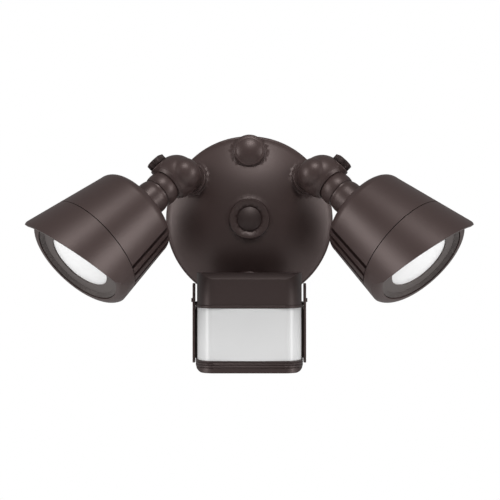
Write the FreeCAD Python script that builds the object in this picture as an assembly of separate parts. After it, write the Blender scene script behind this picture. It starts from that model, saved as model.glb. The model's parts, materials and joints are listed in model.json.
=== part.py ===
import FreeCAD
import Part
import math
import os

# Twin-head motion sensor security light for a wall.
# Millimetres. The origin is on the wall at the canopy's centre, +Z is up,
# the light faces -Y and +X is to the right as seen from the front.

# --- canopy: round domed cover over a 4 inch junction box ---
CANOPY_R = 63.5
GASKET_T = 2.0
CANOPY_WALL = 2.2
LIP_DEPTH = 3.4
DOME_R = 61.8
DOME_BACK_Y = -6.6
DOME_FRONT_Y = -24.0
CENTRE_BOSS_R = 15.0
CENTRE_BOSS_RISE = 1.6
CAP_R = 9.0
HUB_R = 12.6
HUB_BORE_R = 10.5
HUB_FACE_Y = -16.0
HUB_SPLAY_DEG = 7.0
PLUG_R = 11.6
SIDE_HUB_X = 44.1
SIDE_HUB_Z = 30.3
TOP_HUB_Z = 51.4
SENSOR_HUB_Y = -18.0
SENSOR_HUB_Z = -52.0

# --- mounting bar behind the canopy ---
BAR_LENGTH = 104.0
BAR_WIDTH = 18.0
BAR_T = 1.9
BAR_SLOT_SPACING = 79.4
BAR_SLOT_LENGTH = 14.5
BAR_SLOT_R = 2.5
CENTRE_SCREW_R = 2.4

# --- arm: stem, elbow ball and thumb screw ---
STEM_R = 10.4
STEM_BORE_R = 7.0
LOCKNUT_R = 12.0
LOCKNUT_T = 4.2
SEAL_T = 1.0
SHOULDER_R = 11.5
SHOULDER_LIFT = 30.7
POST_R = 9.6
ELBOW_R = 16.0
ELBOW_X = -53.2
ELBOW_Y = -41.0
ELBOW_Z = 30.4
MOUTH_DIST = 10.2
MOUTH_R = 12.1
MOUTH_CHAMFER = 2.2
SEAT_CLEAR = 0.3
THUMB_DIST = 4.5
THUMB_FACE = 15.0
THUMB_BOSS_R = 7.7
THUMB_SCREW_R = 2.42
THUMB_BORE_R = 2.5
KNOB_R = 7.6
KNOB_T = 4.6
KNOB_LOBES = 5
PAD_START = 5.2
PAD_END = 11.1
PAD_CLEAR = 0.15

# --- tilt joint: ball on the neck, tongue on the elbow, cross pin ---
BALL_DIST = 15.7
BALL_R = 12.4
TONGUE_T = 5.0
TONGUE_W = 8.0
TONGUE_GAP = 0.4
PIN_R = 2.0
PIN_CLEAR = 0.06
SLOT_INWARD_DEG = 16.0
SLOT_OUTWARD_DEG = 48.0
SLOT_STEP_DEG = 16.0

# --- lamp head: a cone that widens to the front ---
HEAD_DOWN_DEG = 43.0
HEAD_FORWARD_DEG = 26.0
NECK_DOME_DIST = 26.1
NECK_DOME_R = 12.4
NECK_WAIST_R = 10.9
NECK_WAIST_W = 1.6
HEAD_BACK_DIST = 38.6
HEAD_BACK_R = 32.8
HEAD_FLARE_DEG = 8.37
HEAD_BACK_ROUND = 8.5
HEAD_WALL = 4.4
BACK_WALL = 4.0
SEAM_Z = 45.0
SEAM_GAP = 0.6
SHROUD_WALL = 2.2
FRONT_LEAN_DEG = 7.0
FRONT_LEAN_TO_DEG = 128.0
RIM_Z = 62.8
RIM_ROUND = 7.0
RIM_LAND_R = 34.9
RIM_BORE_R = 34.2
HOOD_PLANES = ((63.2, 14.8, 46.0), (59.6, 30.0, 10.0), (65.6, 31.0, 50.0))
FIN_GROOVES = 7
FIN_FIRST_DEG = -50.0
FIN_PITCH_DEG = -11.5
FIN_GROOVE_W = 3.0
FIN_GROOVE_DEPTH = 2.4
HEAD_LENS_Z = 58.9
HEAD_LENS_R = 25.8
WINDOW_R = 23.9
LENS_RISE = 4.5
BEZEL_LEDGE_Z = 50.5
BEZEL_FOOT_R = 37.0
BEZEL_TOP_Z = 62.0
BEZEL_RING_R = 31.0
BEZEL_LIP = 1.2
BEZEL_STEPS = 4
LED_BOARD_Z = 36.0

# --- motion sensor ---
SENSOR_FRONT_Y = -66.0
SENSOR_BACK_Y = -30.5
SENSOR_TOP_Z = -39.6
SENSOR_BOTTOM_Z = -110.7
SENSOR_HALF_W = 38.0
SENSOR_FLAT_HALF_W = 25.0
SENSOR_CORNER_Y = -46.0
SENSOR_WIDE_HALF_W = 39.4
SENSOR_WIDE_TOP_Z = -63.0
SENSOR_WALL = 2.0
SENSOR_TOP_ROUND = 12.0
SENSOR_CHIN_ROUND = 6.0
CHIN_FLARE = 0.9
SPLIT_Y = -41.0
LENS_TOP_Z = -64.8
LENS_BOTTOM_Z = -102.0
LENS_INSET = 0.3
LENS_BULGE = 1.0
SENSOR_LENS_T = 1.2
PIVOT_Y = -37.5
PIVOT_Z = -65.2
PIVOT_R = 2.0
WEB_Y = -23.5
WEB_T = 2.0
WEB_TOP_Z = -41.0
WEB_HALF_W = 24.0
CROSS_TOP_Z = -64.8
CROSS_BOTTOM_Z = -78.0
ARM_INNER_X = 39.7
ARM_OUTER_X = 41.3
ARM_TOP_Z = -47.5
ARM_BOTTOM_Z = -105.2
ARM_FRONT_Y = -46.0
ARM_BACK_Y = -33.5
DETENT_Z = -59.7
DIAL_R = 4.6
DIAL_X = 15.0
DIAL_Y = -50.0


def vec(x, y, z):
    return FreeCAD.Vector(x, y, z)


ORIGIN = vec(0, 0, 0)
X_AXIS = vec(1, 0, 0)
Y_AXIS = vec(0, 1, 0)
Z_AXIS = vec(0, 0, 1)


def cylinder(start, direction, radius, length):
    return Part.makeCylinder(radius, length, start, direction)


def box(low, high):
    size = high - low
    return Part.makeBox(size.x, size.y, size.z, low)


def outline_face(start, steps, to_point):
    """Closed face: a step is an end point, or a pair of mid point and end point for an arc."""
    edges = []
    here = start
    for step in steps + [start]:
        if isinstance(step[0], tuple):
            mid, end = step
            edges.append(Part.Arc(to_point(here), to_point(mid), to_point(end)).toShape())
        else:
            end = step
            if math.dist(here, end) > 1e-6:
                edges.append(Part.LineSegment(to_point(here), to_point(end)).toShape())
        here = end
    return Part.Face(Part.Wire(edges))


def turned_z(start, steps):
    """Solid of revolution about Z from (radius, z) points, drawn anticlockwise."""
    face = outline_face(start, steps, lambda p: vec(p[0], 0, p[1]))
    return face.revolve(ORIGIN, Z_AXIS, 360)


def turned_y(start, steps):
    """Solid of revolution about Y from (radius, y) points."""
    face = outline_face(start, steps, lambda p: vec(p[0], p[1], 0))
    return face.revolve(ORIGIN, Y_AXIS, 360)


def axes_matrix(x_dir, y_dir, z_dir, origin):
    return FreeCAD.Matrix(
        x_dir.x, y_dir.x, z_dir.x, origin.x,
        x_dir.y, y_dir.y, z_dir.y, origin.y,
        x_dir.z, y_dir.z, z_dir.z, origin.z,
        0, 0, 0, 1)


def moved(shape, matrix):
    result = shape.copy()
    result.Placement = FreeCAD.Placement(matrix).multiply(shape.Placement)
    return result


def polar(radius, angle_deg, z=0.0):
    angle = math.radians(angle_deg)
    return vec(radius * math.cos(angle), radius * math.sin(angle), z)


# --- frames of the left arm and head ---
def head_axes():
    """Viewer side, upper side and forward direction of the left head."""
    down = math.radians(HEAD_DOWN_DEG)
    forward = math.radians(HEAD_FORWARD_DEG)
    along = vec(-math.cos(forward) * math.cos(down), -math.sin(forward),
                -math.cos(forward) * math.sin(down))
    upper = vec(along.z, 0, -along.x)
    upper.normalize()
    viewer = upper.cross(along)
    return viewer, upper, along


VIEWER_SIDE, UPPER_SIDE, FORWARD = head_axes()
ELBOW_CENTRE = vec(ELBOW_X, ELBOW_Y, ELBOW_Z)
HEAD_FRAME = axes_matrix(VIEWER_SIDE, UPPER_SIDE, FORWARD,
                         ELBOW_CENTRE + FORWARD * HEAD_BACK_DIST)
ELBOW_FRAME = axes_matrix(VIEWER_SIDE, UPPER_SIDE, FORWARD, ELBOW_CENTRE)
BALL_CENTRE = ELBOW_CENTRE + FORWARD * BALL_DIST


def hub_direction(x, z, splay_deg):
    """Outward direction of a hub that leans away from the canopy's centre."""
    radial = vec(x, 0, z)
    radial.normalize()
    splay = math.radians(splay_deg)
    return radial * math.sin(splay) - Y_AXIS * math.cos(splay)


LEFT_HUB = vec(-SIDE_HUB_X, HUB_FACE_Y, SIDE_HUB_Z)
RIGHT_HUB = vec(SIDE_HUB_X, HUB_FACE_Y, SIDE_HUB_Z)
TOP_HUB = vec(0, HUB_FACE_Y, TOP_HUB_Z)
SENSOR_HUB = vec(0, SENSOR_HUB_Y, SENSOR_HUB_Z)
LEFT_STEM = hub_direction(-SIDE_HUB_X, SIDE_HUB_Z, HUB_SPLAY_DEG)
RIGHT_STEM = hub_direction(SIDE_HUB_X, SIDE_HUB_Z, HUB_SPLAY_DEG)
TOP_STEM = hub_direction(0, TOP_HUB_Z, HUB_SPLAY_DEG)
SENSOR_STEM = vec(0, -1, 0)
HUBS = ((LEFT_HUB, LEFT_STEM), (RIGHT_HUB, RIGHT_STEM), (TOP_HUB, TOP_STEM), (SENSOR_HUB, SENSOR_STEM))


# --- canopy ---
def dome_arc(radius, crown, foot, end_r=0.0):
    """Mid and end points of a spherical dome's arc from its foot to end_r near the crown."""
    rise = abs(foot - crown)
    side = 1 if foot > crown else -1
    sphere = (radius * radius + rise * rise) / (2 * rise)
    foot_angle = math.asin(radius / sphere)
    end_angle = math.asin(end_r / sphere)

    def on_dome(angle):
        return (sphere * math.sin(angle), crown + side * sphere * (1 - math.cos(angle)))

    return (on_dome((foot_angle + end_angle) / 2), on_dome(end_angle))


def canopy_cover():
    back = -GASKET_T
    lip_front = back - LIP_DEPTH
    inner_r = DOME_R - CANOPY_WALL
    boss_y = DOME_FRONT_Y - CENTRE_BOSS_RISE
    outer = turned_y((0, back), [(CANOPY_R, back), (CANOPY_R, lip_front + 0.8),
                                 ((CANOPY_R - 0.25, lip_front + 0.25), (CANOPY_R - 0.8, lip_front)),
                                 (DOME_R, lip_front), (DOME_R, DOME_BACK_Y),
                                 dome_arc(DOME_R, DOME_FRONT_Y, DOME_BACK_Y, CENTRE_BOSS_R + 0.6),
                                 (CENTRE_BOSS_R, boss_y + 0.5), (CENTRE_BOSS_R - 0.5, boss_y),
                                 (0, boss_y)])
    hollow = turned_y((0, back + 1), [(inner_r, back + 1), (inner_r, DOME_BACK_Y),
                                      dome_arc(inner_r, DOME_FRONT_Y + CANOPY_WALL, DOME_BACK_Y)])
    foot_y = DOME_BACK_Y + 1.0
    hub_walls = []
    bores = []
    for hub, stem in HUBS:
        length = (hub.y - foot_y) / stem.y
        boss = cylinder(hub - stem * length, stem, HUB_R, length)
        outer = outer.fuse(boss.makeFillet(0.8, [boss.Edges[0]]))
        hub_walls.append(cylinder(hub - stem * 9.5, stem, HUB_R, 9.0))
        bores.append(cylinder(hub - stem * 12, stem, HUB_BORE_R, 16))
    hub_walls.append(cylinder(vec(0, DOME_FRONT_Y + 7, 0), SENSOR_STEM, CAP_R + 2.2, 6.0))
    bores.append(cylinder(vec(0, DOME_FRONT_Y + 3.6, 0), SENSOR_STEM, CAP_R + 0.1, 8))
    bores.append(cylinder(vec(0, DOME_FRONT_Y + 12, 0), SENSOR_STEM, CENTRE_SCREW_R + 0.4, 14))
    cover = outer.cut(hollow).fuse(hub_walls).cut(bores)
    lip_inside = turned_y((inner_r, back + 1), [(CANOPY_R + 5, back + 1), (CANOPY_R + 5, back),
                                                (inner_r, back)])
    return cover.cut(lip_inside).removeSplitter()


def canopy_gasket():
    return turned_y((55.5, 0), [(CANOPY_R - 0.5, 0), (CANOPY_R - 0.5, -GASKET_T), (55.5, -GASKET_T)])


def bar_slot(x):
    half = BAR_SLOT_LENGTH / 2 - BAR_SLOT_R
    slot = box(vec(x - half, -5, -BAR_SLOT_R), vec(x + half, 5, BAR_SLOT_R))
    for end in (x - half, x + half):
        slot = slot.fuse(cylinder(vec(end, -5, 0), Y_AXIS, BAR_SLOT_R, 10))
    return slot


def mounting_bar():
    half = BAR_LENGTH / 2 - BAR_WIDTH / 2
    bar = box(vec(-half, -BAR_T, -BAR_WIDTH / 2), vec(half, 0, BAR_WIDTH / 2))
    for end in (-half, half):
        bar = bar.fuse(cylinder(vec(end, -BAR_T, 0), Y_AXIS, BAR_WIDTH / 2, BAR_T))
    collar = cylinder(vec(0, -BAR_T - 3, 0), Y_AXIS, 5.5, 3.5)
    bar = bar.fuse(collar)
    for side in (-1, 1):
        bar = bar.cut(bar_slot(side * BAR_SLOT_SPACING / 2))
    bar = bar.cut(cylinder(vec(0, -8, 0), Y_AXIS, CENTRE_SCREW_R, 10))
    return bar.cut(cylinder(vec(20, -8, 0), Y_AXIS, 1.8, 10)).removeSplitter()


def pan_head_screw(tip, direction, shank_r, length, head_r, head_t):
    """Round-headed screw with a cross recess, its tip at the start of the given direction."""
    shank = turned_z((0, 0), [(shank_r * 0.6, 0), (shank_r, shank_r * 0.6), (shank_r, length), (0, length)])
    head = turned_z((0, length), [(head_r, length), (head_r, length + head_t * 0.45),
                                  ((head_r * 0.86, length + head_t * 0.78),
                                   (head_r * 0.5, length + head_t)), (0, length + head_t)])
    screw = shank.fuse(head)
    top = length + head_t
    for turn in (0, 90):
        arm = box(vec(-head_r * 0.55, -head_r * 0.13, top - head_t * 0.55),
                  vec(head_r * 0.55, head_r * 0.13, top + 1))
        arm.rotate(ORIGIN, Z_AXIS, turn)
        screw = screw.cut(arm)
    screw.Placement = FreeCAD.Placement(tip, FreeCAD.Rotation(Z_AXIS, direction))
    return screw


def centre_screw():
    length = -DOME_FRONT_Y - 3.7
    return pan_head_screw(vec(0, -0.1, 0), SENSOR_STEM, CENTRE_SCREW_R, length, 4.4, 2.6)


def centre_cap():
    seat_y = DOME_FRONT_Y - CENTRE_BOSS_RISE
    return turned_y((0, seat_y + 1.2), [(CAP_R, seat_y + 1.2), (CAP_R, seat_y - 0.6),
                                        dome_arc(CAP_R, seat_y - 3.0, seat_y - 0.6)])


def ground_screw():
    return pan_head_screw(vec(20, -0.1, 0), SENSOR_STEM, 1.75, 4.6, 3.6, 1.8)


def top_hub_plug():
    plug = turned_z((0, -9), [(HUB_BORE_R - 0.05, -9), (HUB_BORE_R - 0.05, 0), (PLUG_R, 0),
                              ((PLUG_R - 0.3, 1.2), (PLUG_R - 1.2, 1.5)),
                              (PLUG_R - 1.7, 1.5), dome_arc(PLUG_R - 1.7, 4.4, 1.5)])
    plug = plug.cut(cylinder(vec(0, 0, -10), Z_AXIS, 7.5, 9.5))
    frame = FreeCAD.Placement(TOP_HUB, FreeCAD.Rotation(Z_AXIS, TOP_STEM))
    return moved(plug, frame.toMatrix())


def power_module():
    case = box(vec(-26, -14.5, -30), vec(26, -6.2, -14))
    case = case.makeFillet(1.5, [e for e in case.Edges if e.BoundBox.YLength > 8])
    return case


def mirror_x(shape):
    return shape.mirror(ORIGIN, X_AXIS)


# --- arm ---
def stem_ring(hub, stem, outer_r, start, length, chamfer):
    """Ring around a stem, its distances measured from the hub's face."""
    inner_r = HUB_BORE_R
    ring = turned_z((inner_r, start), [(outer_r - chamfer, start), (outer_r, start + chamfer),
                                       (outer_r, start + length - chamfer),
                                       (outer_r - chamfer, start + length), (inner_r, start + length)])
    frame = FreeCAD.Placement(hub, FreeCAD.Rotation(Z_AXIS, stem))
    return moved(ring, frame.toMatrix())


def hub_seal(hub, stem):
    return stem_ring(hub, stem, HUB_R - 0.9, 0, SEAL_T, 0.2)


def locknut(hub, stem):
    return stem_ring(hub, stem, LOCKNUT_R, SEAL_T, LOCKNUT_T, 0.9)


def thumb_axis_point(offset):
    return ELBOW_CENTRE + FORWARD * THUMB_DIST + UPPER_SIDE * offset


def elbow():
    """Ball with a chamfered mouth, screw boss, shoulder, stem and the tongue inside the cup."""
    chamfer_z = MOUTH_DIST - MOUTH_CHAMFER
    chamfer_r = math.sqrt(ELBOW_R ** 2 - chamfer_z ** 2)
    body = Part.makeSphere(ELBOW_R)
    keep = box(vec(-20, -20, -20), vec(20, 20, chamfer_z))
    body = body.common(keep)
    rim = turned_z((0, chamfer_z - 2), [(MOUTH_R, chamfer_z - 2), (chamfer_r, chamfer_z),
                                        (MOUTH_R, MOUTH_DIST), (0, MOUTH_DIST)])
    boss = Part.makeCylinder(THUMB_BOSS_R, THUMB_FACE, vec(0, 0, THUMB_DIST), Y_AXIS)
    boss = boss.makeFillet(0.7, [boss.Edges[0]])
    body = body.fuse([rim, boss])
    beyond = box(vec(-20, THUMB_FACE, -20), vec(20, THUMB_FACE + 10, 20))
    body = body.cut(beyond)
    body = moved(body, ELBOW_FRAME)
    shoulder_centre = LEFT_HUB + LEFT_STEM * SHOULDER_LIFT
    post_start = SEAL_T + LOCKNUT_T + 0.4
    post = cylinder(LEFT_HUB, LEFT_STEM, POST_R, SHOULDER_LIFT)
    stem = cylinder(LEFT_HUB - LEFT_STEM * 9, LEFT_STEM, STEM_R, 9 + post_start)
    shoulder = Part.makeSphere(SHOULDER_R, shoulder_centre)
    body = body.fuse([post, stem, shoulder])
    seat = Part.makeSphere(BALL_R + SEAT_CLEAR, BALL_CENTRE)
    passage = cylinder(LEFT_HUB - LEFT_STEM * 12, LEFT_STEM, STEM_BORE_R, 12 + SHOULDER_LIFT - 4)
    throat_end = BALL_CENTRE - FORWARD * 9 - UPPER_SIDE * 7.5
    throat = throat_end - shoulder_centre
    wire_way = cylinder(shoulder_centre, throat, 2.6, throat.Length)
    screw_hole = cylinder(thumb_axis_point(4.0), UPPER_SIDE, THUMB_BORE_R, THUMB_FACE)
    body = body.cut([seat, passage, wire_way, screw_hole])
    tongue = box(vec(-TONGUE_W / 2, -TONGUE_T / 2, 1.5), vec(TONGUE_W / 2, TONGUE_T / 2, BALL_DIST))
    tip = Part.makeCylinder(TONGUE_W / 2, TONGUE_T, vec(0, -TONGUE_T / 2, BALL_DIST), Y_AXIS)
    tongue = tongue.fuse(tip).cut(Part.makeCylinder(PIN_R, 20, vec(0, -10, BALL_DIST), Y_AXIS))
    return body.fuse(moved(tongue, ELBOW_FRAME)).removeSplitter()


def thumb_screw():
    """Lobed knob and its screw, along +Z from the screw's tip, knob foot at z = 0."""
    shank_length = THUMB_FACE - 11.2
    knob = Part.makeCylinder(KNOB_R - 1.5, KNOB_T, vec(0, 0, 0.4), Z_AXIS)
    for lobe in range(KNOB_LOBES):
        centre = polar(KNOB_R - 2.4, 360.0 * lobe / KNOB_LOBES, 0.4)
        knob = knob.fuse(Part.makeCylinder(2.4, KNOB_T, centre, Z_AXIS))
    for valley in range(KNOB_LOBES):
        centre = polar(KNOB_R + 0.3, 360.0 * (valley + 0.5) / KNOB_LOBES, 0)
        knob = knob.cut(Part.makeCylinder(2.1, KNOB_T + 2, centre, Z_AXIS))
    crown = turned_z((0, -1), [(KNOB_R + 1, -1), (KNOB_R + 1, KNOB_T - 1.2), (KNOB_R - 2.2, KNOB_T + 0.4),
                               (0, KNOB_T + 0.4)])
    knob = knob.removeSplitter().common(crown)
    collar = Part.makeCylinder(3.6, 0.5, vec(0, 0, 0), Z_AXIS)
    shank = Part.makeCylinder(THUMB_SCREW_R, shank_length + 2, vec(0, 0, -shank_length), Z_AXIS)
    dimple = Part.makeCylinder(2.6, 2, vec(0, 0, KNOB_T - 0.4), Z_AXIS)
    screw = knob.fuse([collar, shank]).cut(dimple).removeSplitter()
    frame = FreeCAD.Placement(thumb_axis_point(THUMB_FACE), FreeCAD.Rotation(Z_AXIS, UPPER_SIDE))
    return moved(screw, frame.toMatrix())


def brake_pad():
    """Pad that the thumb screw presses on the neck's ball, hollowed to the ball."""
    pad = cylinder(thumb_axis_point(PAD_START), UPPER_SIDE, THUMB_BORE_R - 0.05, PAD_END - PAD_START)
    return pad.cut(Part.makeSphere(BALL_R + PAD_CLEAR, BALL_CENTRE))


def tilt_pin():
    start = BALL_CENTRE - UPPER_SIDE * (BALL_R - 2.2)
    return cylinder(start, UPPER_SIDE, PIN_R, 2 * (BALL_R - 2.2))


def tongue_slot():
    """Sector cut out of the ball for the tongue's swing, about the ball's centre."""
    half = TONGUE_T / 2 + TONGUE_GAP
    side = TONGUE_W / 2 + TONGUE_GAP
    slot = Part.makeCylinder(side + 0.3, 2 * half, vec(0, -half, 0), Y_AXIS)
    reach = BALL_R + 2
    angle = -SLOT_INWARD_DEG
    while angle <= SLOT_OUTWARD_DEG + 0.1:
        slab = box(vec(-side, -half, -reach), vec(side, half, 0))
        slab.rotate(ORIGIN, Y_AXIS, -angle)
        slot = slot.fuse(slab)
        angle += SLOT_STEP_DEG
    return slot.removeSplitter()


def neck():
    """Ball, dome and threaded nipple of the head's neck; z = 0 at the ball's centre."""
    dome_z = NECK_DOME_DIST - BALL_DIST
    back_z = HEAD_BACK_DIST - BALL_DIST
    ball = Part.makeSphere(BALL_R)
    dome = Part.makeSphere(NECK_DOME_R, vec(0, 0, dome_z))
    barrel = Part.makeCylinder(NECK_DOME_R, back_z - dome_z, vec(0, 0, dome_z), Z_AXIS)
    nipple = Part.makeCylinder(6.4, 16, vec(0, 0, back_z - 1), Z_AXIS)
    body = ball.fuse([dome, barrel, nipple])
    waist_z = (BALL_R ** 2 - NECK_DOME_R ** 2 + dome_z ** 2) / (2 * dome_z)
    waist = Part.makeCylinder(BALL_R, NECK_WAIST_W, vec(0, 0, waist_z - NECK_WAIST_W / 2), Z_AXIS)
    waist = waist.cut(Part.makeCylinder(NECK_WAIST_R, 2 * BALL_R, ORIGIN, Z_AXIS))
    body = body.cut([tongue_slot(), waist])
    body = body.cut(Part.makeCylinder(3.2, 60, vec(0, 0, 4.6), Z_AXIS))
    pin_hole = Part.makeCylinder(PIN_R + PIN_CLEAR, 2 * (BALL_R - 2.0), vec(0, 2.0 - BALL_R, 0), Y_AXIS)
    body = body.cut(pin_hole)
    frame = axes_matrix(VIEWER_SIDE, UPPER_SIDE, FORWARD, BALL_CENTRE)
    return moved(body.removeSplitter(), frame)


# --- lamp head, in its own frame: z = 0 at the back plane, +X viewer side, +Y upper side ---
FLARE = math.tan(math.radians(HEAD_FLARE_DEG))


def cone_r(z):
    return HEAD_BACK_R + z * FLARE


def plane_cutter(level, slant, slant_deg, reach=80.0):
    """Block that lies in front of a slanted plane across the head."""
    lean = math.atan2(slant, cone_r(level))
    block = Part.makeBox(2 * reach, 2 * reach, reach, vec(-reach, -reach, 0))
    tilt_axis = vec(-math.sin(math.radians(slant_deg)), math.cos(math.radians(slant_deg)), 0)
    block.rotate(ORIGIN, tilt_axis, -math.degrees(lean))
    block.translate(vec(0, 0, level))
    return block


def head_rear_housing():
    front = SEAM_Z - SEAM_GAP / 2
    round_r = HEAD_BACK_ROUND
    arc_mid = (cone_r(0) - round_r * 0.29, round_r * 0.29)
    outer = turned_z((0, 0), [(cone_r(0) - round_r, 0), (arc_mid, (cone_r(round_r), round_r)),
                              (cone_r(front), front), (0, front)])
    inner = turned_z((0, BACK_WALL), [(cone_r(0) - HEAD_WALL - 5, BACK_WALL),
                                      (cone_r(9) - HEAD_WALL, 9),
                                      (cone_r(front + 1) - HEAD_WALL, front + 1), (0, front + 1)])
    body = outer.cut(inner)
    for groove in range(FIN_GROOVES):
        angle = FIN_FIRST_DEG + FIN_PITCH_DEG * groove
        cutter = box(vec(0, -FIN_GROOVE_W / 2, -1), vec(20, FIN_GROOVE_W / 2, front + 8))
        cutter.rotate(ORIGIN, Y_AXIS, HEAD_FLARE_DEG)
        cutter.translate(vec(cone_r(0) - FIN_GROOVE_DEPTH, 0, 0))
        cutter.rotate(ORIGIN, Z_AXIS, angle)
        body = body.cut(cutter)
    boss = Part.makeCylinder(11.5, 3, vec(0, 0, BACK_WALL - 0.5), Z_AXIS)
    ledge = turned_z((cone_r(LED_BOARD_Z) - HEAD_WALL - 4.5, LED_BOARD_Z - 3),
                     [(cone_r(LED_BOARD_Z) - HEAD_WALL + 1, LED_BOARD_Z - 6),
                      (cone_r(LED_BOARD_Z) - HEAD_WALL + 1, LED_BOARD_Z),
                      (cone_r(LED_BOARD_Z) - HEAD_WALL - 4.5, LED_BOARD_Z)])
    body = body.fuse([boss, ledge])
    return body.cut(Part.makeCylinder(6.5, 20, vec(0, 0, -1), Z_AXIS)).removeSplitter()


def seam_gasket():
    return turned_z((cone_r(SEAM_Z) - HEAD_WALL, SEAM_Z - SEAM_GAP / 2),
                    [(cone_r(SEAM_Z) - 0.9, SEAM_Z - SEAM_GAP / 2), (cone_r(SEAM_Z) - 0.9, SEAM_Z + SEAM_GAP / 2),
                     (cone_r(SEAM_Z) - HEAD_WALL, SEAM_Z + SEAM_GAP / 2)])


def leaned(shape):
    """Shape tilted about the lens's centre with the slanted front of the head."""
    axis = polar(1, FRONT_LEAN_TO_DEG + 90)
    result = shape.copy()
    result.rotate(vec(0, 0, HEAD_LENS_Z), axis, -FRONT_LEAN_DEG)
    return result


def front_shroud():
    """Front half: a cone with a rounded, slanted rim, carried forward as a hood on the upper side."""
    back = SEAM_Z + SEAM_GAP / 2
    far = RIM_Z + 30
    outer = turned_z((0, back), [(cone_r(back), back), (cone_r(far), far), (0, far)])
    turn_r = RIM_LAND_R + RIM_ROUND
    turn_z = RIM_Z - RIM_ROUND
    half = RIM_ROUND * math.sqrt(0.5)
    in_front = leaned(turned_z((0, RIM_Z), [(RIM_LAND_R, RIM_Z),
                                            ((RIM_LAND_R + half, turn_z + half), (turn_r, turn_z)),
                                            (60, turn_z), (60, far + 10), (0, far + 10)]))
    hood_blocks = [plane_cutter(level, slant, towards) for level, slant, towards in HOOD_PLANES]
    past_hood = hood_blocks[0].fuse(hood_blocks[1:])
    hood_room = turned_z((0, back), [(cone_r(back) - SHROUD_WALL, back),
                                     (cone_r(far + 1) - SHROUD_WALL, far + 1), (0, far + 1)])
    hood_room = hood_room.common(leaned(Part.makeCylinder(70, 60, vec(0, 0, RIM_Z), Z_AXIS)))
    foot_r = BEZEL_FOOT_R + 0.2
    seat = leaned(turned_z((0, back - 6), [(foot_r - 2, back - 6), (foot_r - 2, BEZEL_LEDGE_Z),
                                           (foot_r, BEZEL_LEDGE_Z), (foot_r, BEZEL_LEDGE_Z + 3),
                                           (RIM_BORE_R, BEZEL_LEDGE_Z + 7), (RIM_BORE_R, RIM_Z + 1),
                                           (0, RIM_Z + 1)]))
    body = outer.cut(in_front.common(past_hood))
    return body.cut(hood_room).cut(seat).removeSplitter()


def bezel():
    """Flat ring around the lens that rises to the rim in small steps."""
    ledge = BEZEL_LEDGE_Z
    lip_z = HEAD_LENS_Z + BEZEL_LIP
    edge_r = RIM_BORE_R - 0.3
    run = (edge_r - BEZEL_RING_R) / BEZEL_STEPS
    drop = (BEZEL_TOP_Z - lip_z) / BEZEL_STEPS
    points = [(BEZEL_FOOT_R - 1.6, ledge), (BEZEL_FOOT_R, ledge), (BEZEL_FOOT_R, ledge + 2.8),
              (edge_r, ledge + 7), (edge_r, BEZEL_TOP_Z)]
    for step in range(BEZEL_STEPS):
        points.append((edge_r - run * (step + 1), BEZEL_TOP_Z - drop * step))
        points.append((edge_r - run * (step + 1), BEZEL_TOP_Z - drop * (step + 1)))
    seat_r = HEAD_LENS_R + 0.2
    points += [(WINDOW_R, lip_z), (WINDOW_R, HEAD_LENS_Z), (seat_r, HEAD_LENS_Z),
               (seat_r, HEAD_LENS_Z - 3.0), (seat_r + 4.0, HEAD_LENS_Z - 3.4)]
    return leaned(turned_z(points[0], points[1:]))


def head_lens():
    """Frosted lens with a domed front; its flange lies against the bezel."""
    back_z = HEAD_LENS_Z - 2.6
    lens = turned_z((0, back_z), [(HEAD_LENS_R, back_z), (HEAD_LENS_R, HEAD_LENS_Z),
                                  (WINDOW_R - 0.2, HEAD_LENS_Z),
                                  dome_arc(WINDOW_R - 0.2, HEAD_LENS_Z + LENS_RISE, HEAD_LENS_Z)])
    return leaned(lens)


def reflector():
    """Cone between the LED board and the lens, tilted with the lens."""
    low = LED_BOARD_Z + 5.6
    high = HEAD_LENS_Z - 3.0
    rim_r = HEAD_LENS_R - 0.1
    cone = turned_z((16.6, low), [(rim_r - 2.4, high), (rim_r, high), (rim_r, high - 1.2),
                                  (rim_r - 1.2, high - 1.2), (18.0, low)])
    return leaned(cone)


def led_board():
    board = Part.makeCylinder(cone_r(LED_BOARD_Z) - HEAD_WALL - 0.4, 1.6, vec(0, 0, LED_BOARD_Z), Z_AXIS)
    for ring_r, count in ((5.0, 3), (12.0, 9)):
        for chip in range(count):
            at = polar(ring_r, 360.0 * chip / count, 0)
            low = vec(at.x - 1.4, at.y - 1.4, LED_BOARD_Z + 1.4)
            board = board.fuse(box(low, low + vec(2.8, 2.8, 1.0)))
    for screw in range(3):
        at = polar(24.0, 120.0 * screw + 30, LED_BOARD_Z - 1)
        board = board.cut(Part.makeCylinder(1.6, 6, at, Z_AXIS))
    return board.cut(Part.makeCylinder(1.8, 10, vec(0, 0, LED_BOARD_Z - 2), Z_AXIS)).removeSplitter()


def heat_plate():
    """Aluminium disc that carries the LED board on the housing's ledge."""
    radius = cone_r(LED_BOARD_Z) - HEAD_WALL - 5.0
    plate = Part.makeCylinder(radius, 4.0, vec(0, 0, LED_BOARD_Z - 4.0), Z_AXIS)
    for screw in range(3):
        at = polar(24.0, 120.0 * screw + 30, LED_BOARD_Z - 5)
        plate = plate.cut(Part.makeCylinder(1.45, 8, at, Z_AXIS))
    return plate.cut(Part.makeCylinder(1.8, 10, vec(0, 0, LED_BOARD_Z - 6), Z_AXIS))


def board_screws():
    screws = [pan_head_screw(polar(24.0, 120.0 * screw + 30, LED_BOARD_Z - 3.6), Z_AXIS, 1.4, 5.2, 2.6, 1.4)
              for screw in range(3)]
    return Part.makeCompound(screws)


def neck_nut():
    start_z = BACK_WALL + 2.5
    corners = [polar(10.4, 60.0 * k, start_z) for k in range(7)]
    nut = Part.Face(Part.makePolygon(corners)).extrude(vec(0, 0, 4.0))
    return nut.cut(Part.makeCylinder(6.42, 10, vec(0, 0, start_z - 1), Z_AXIS))


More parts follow.
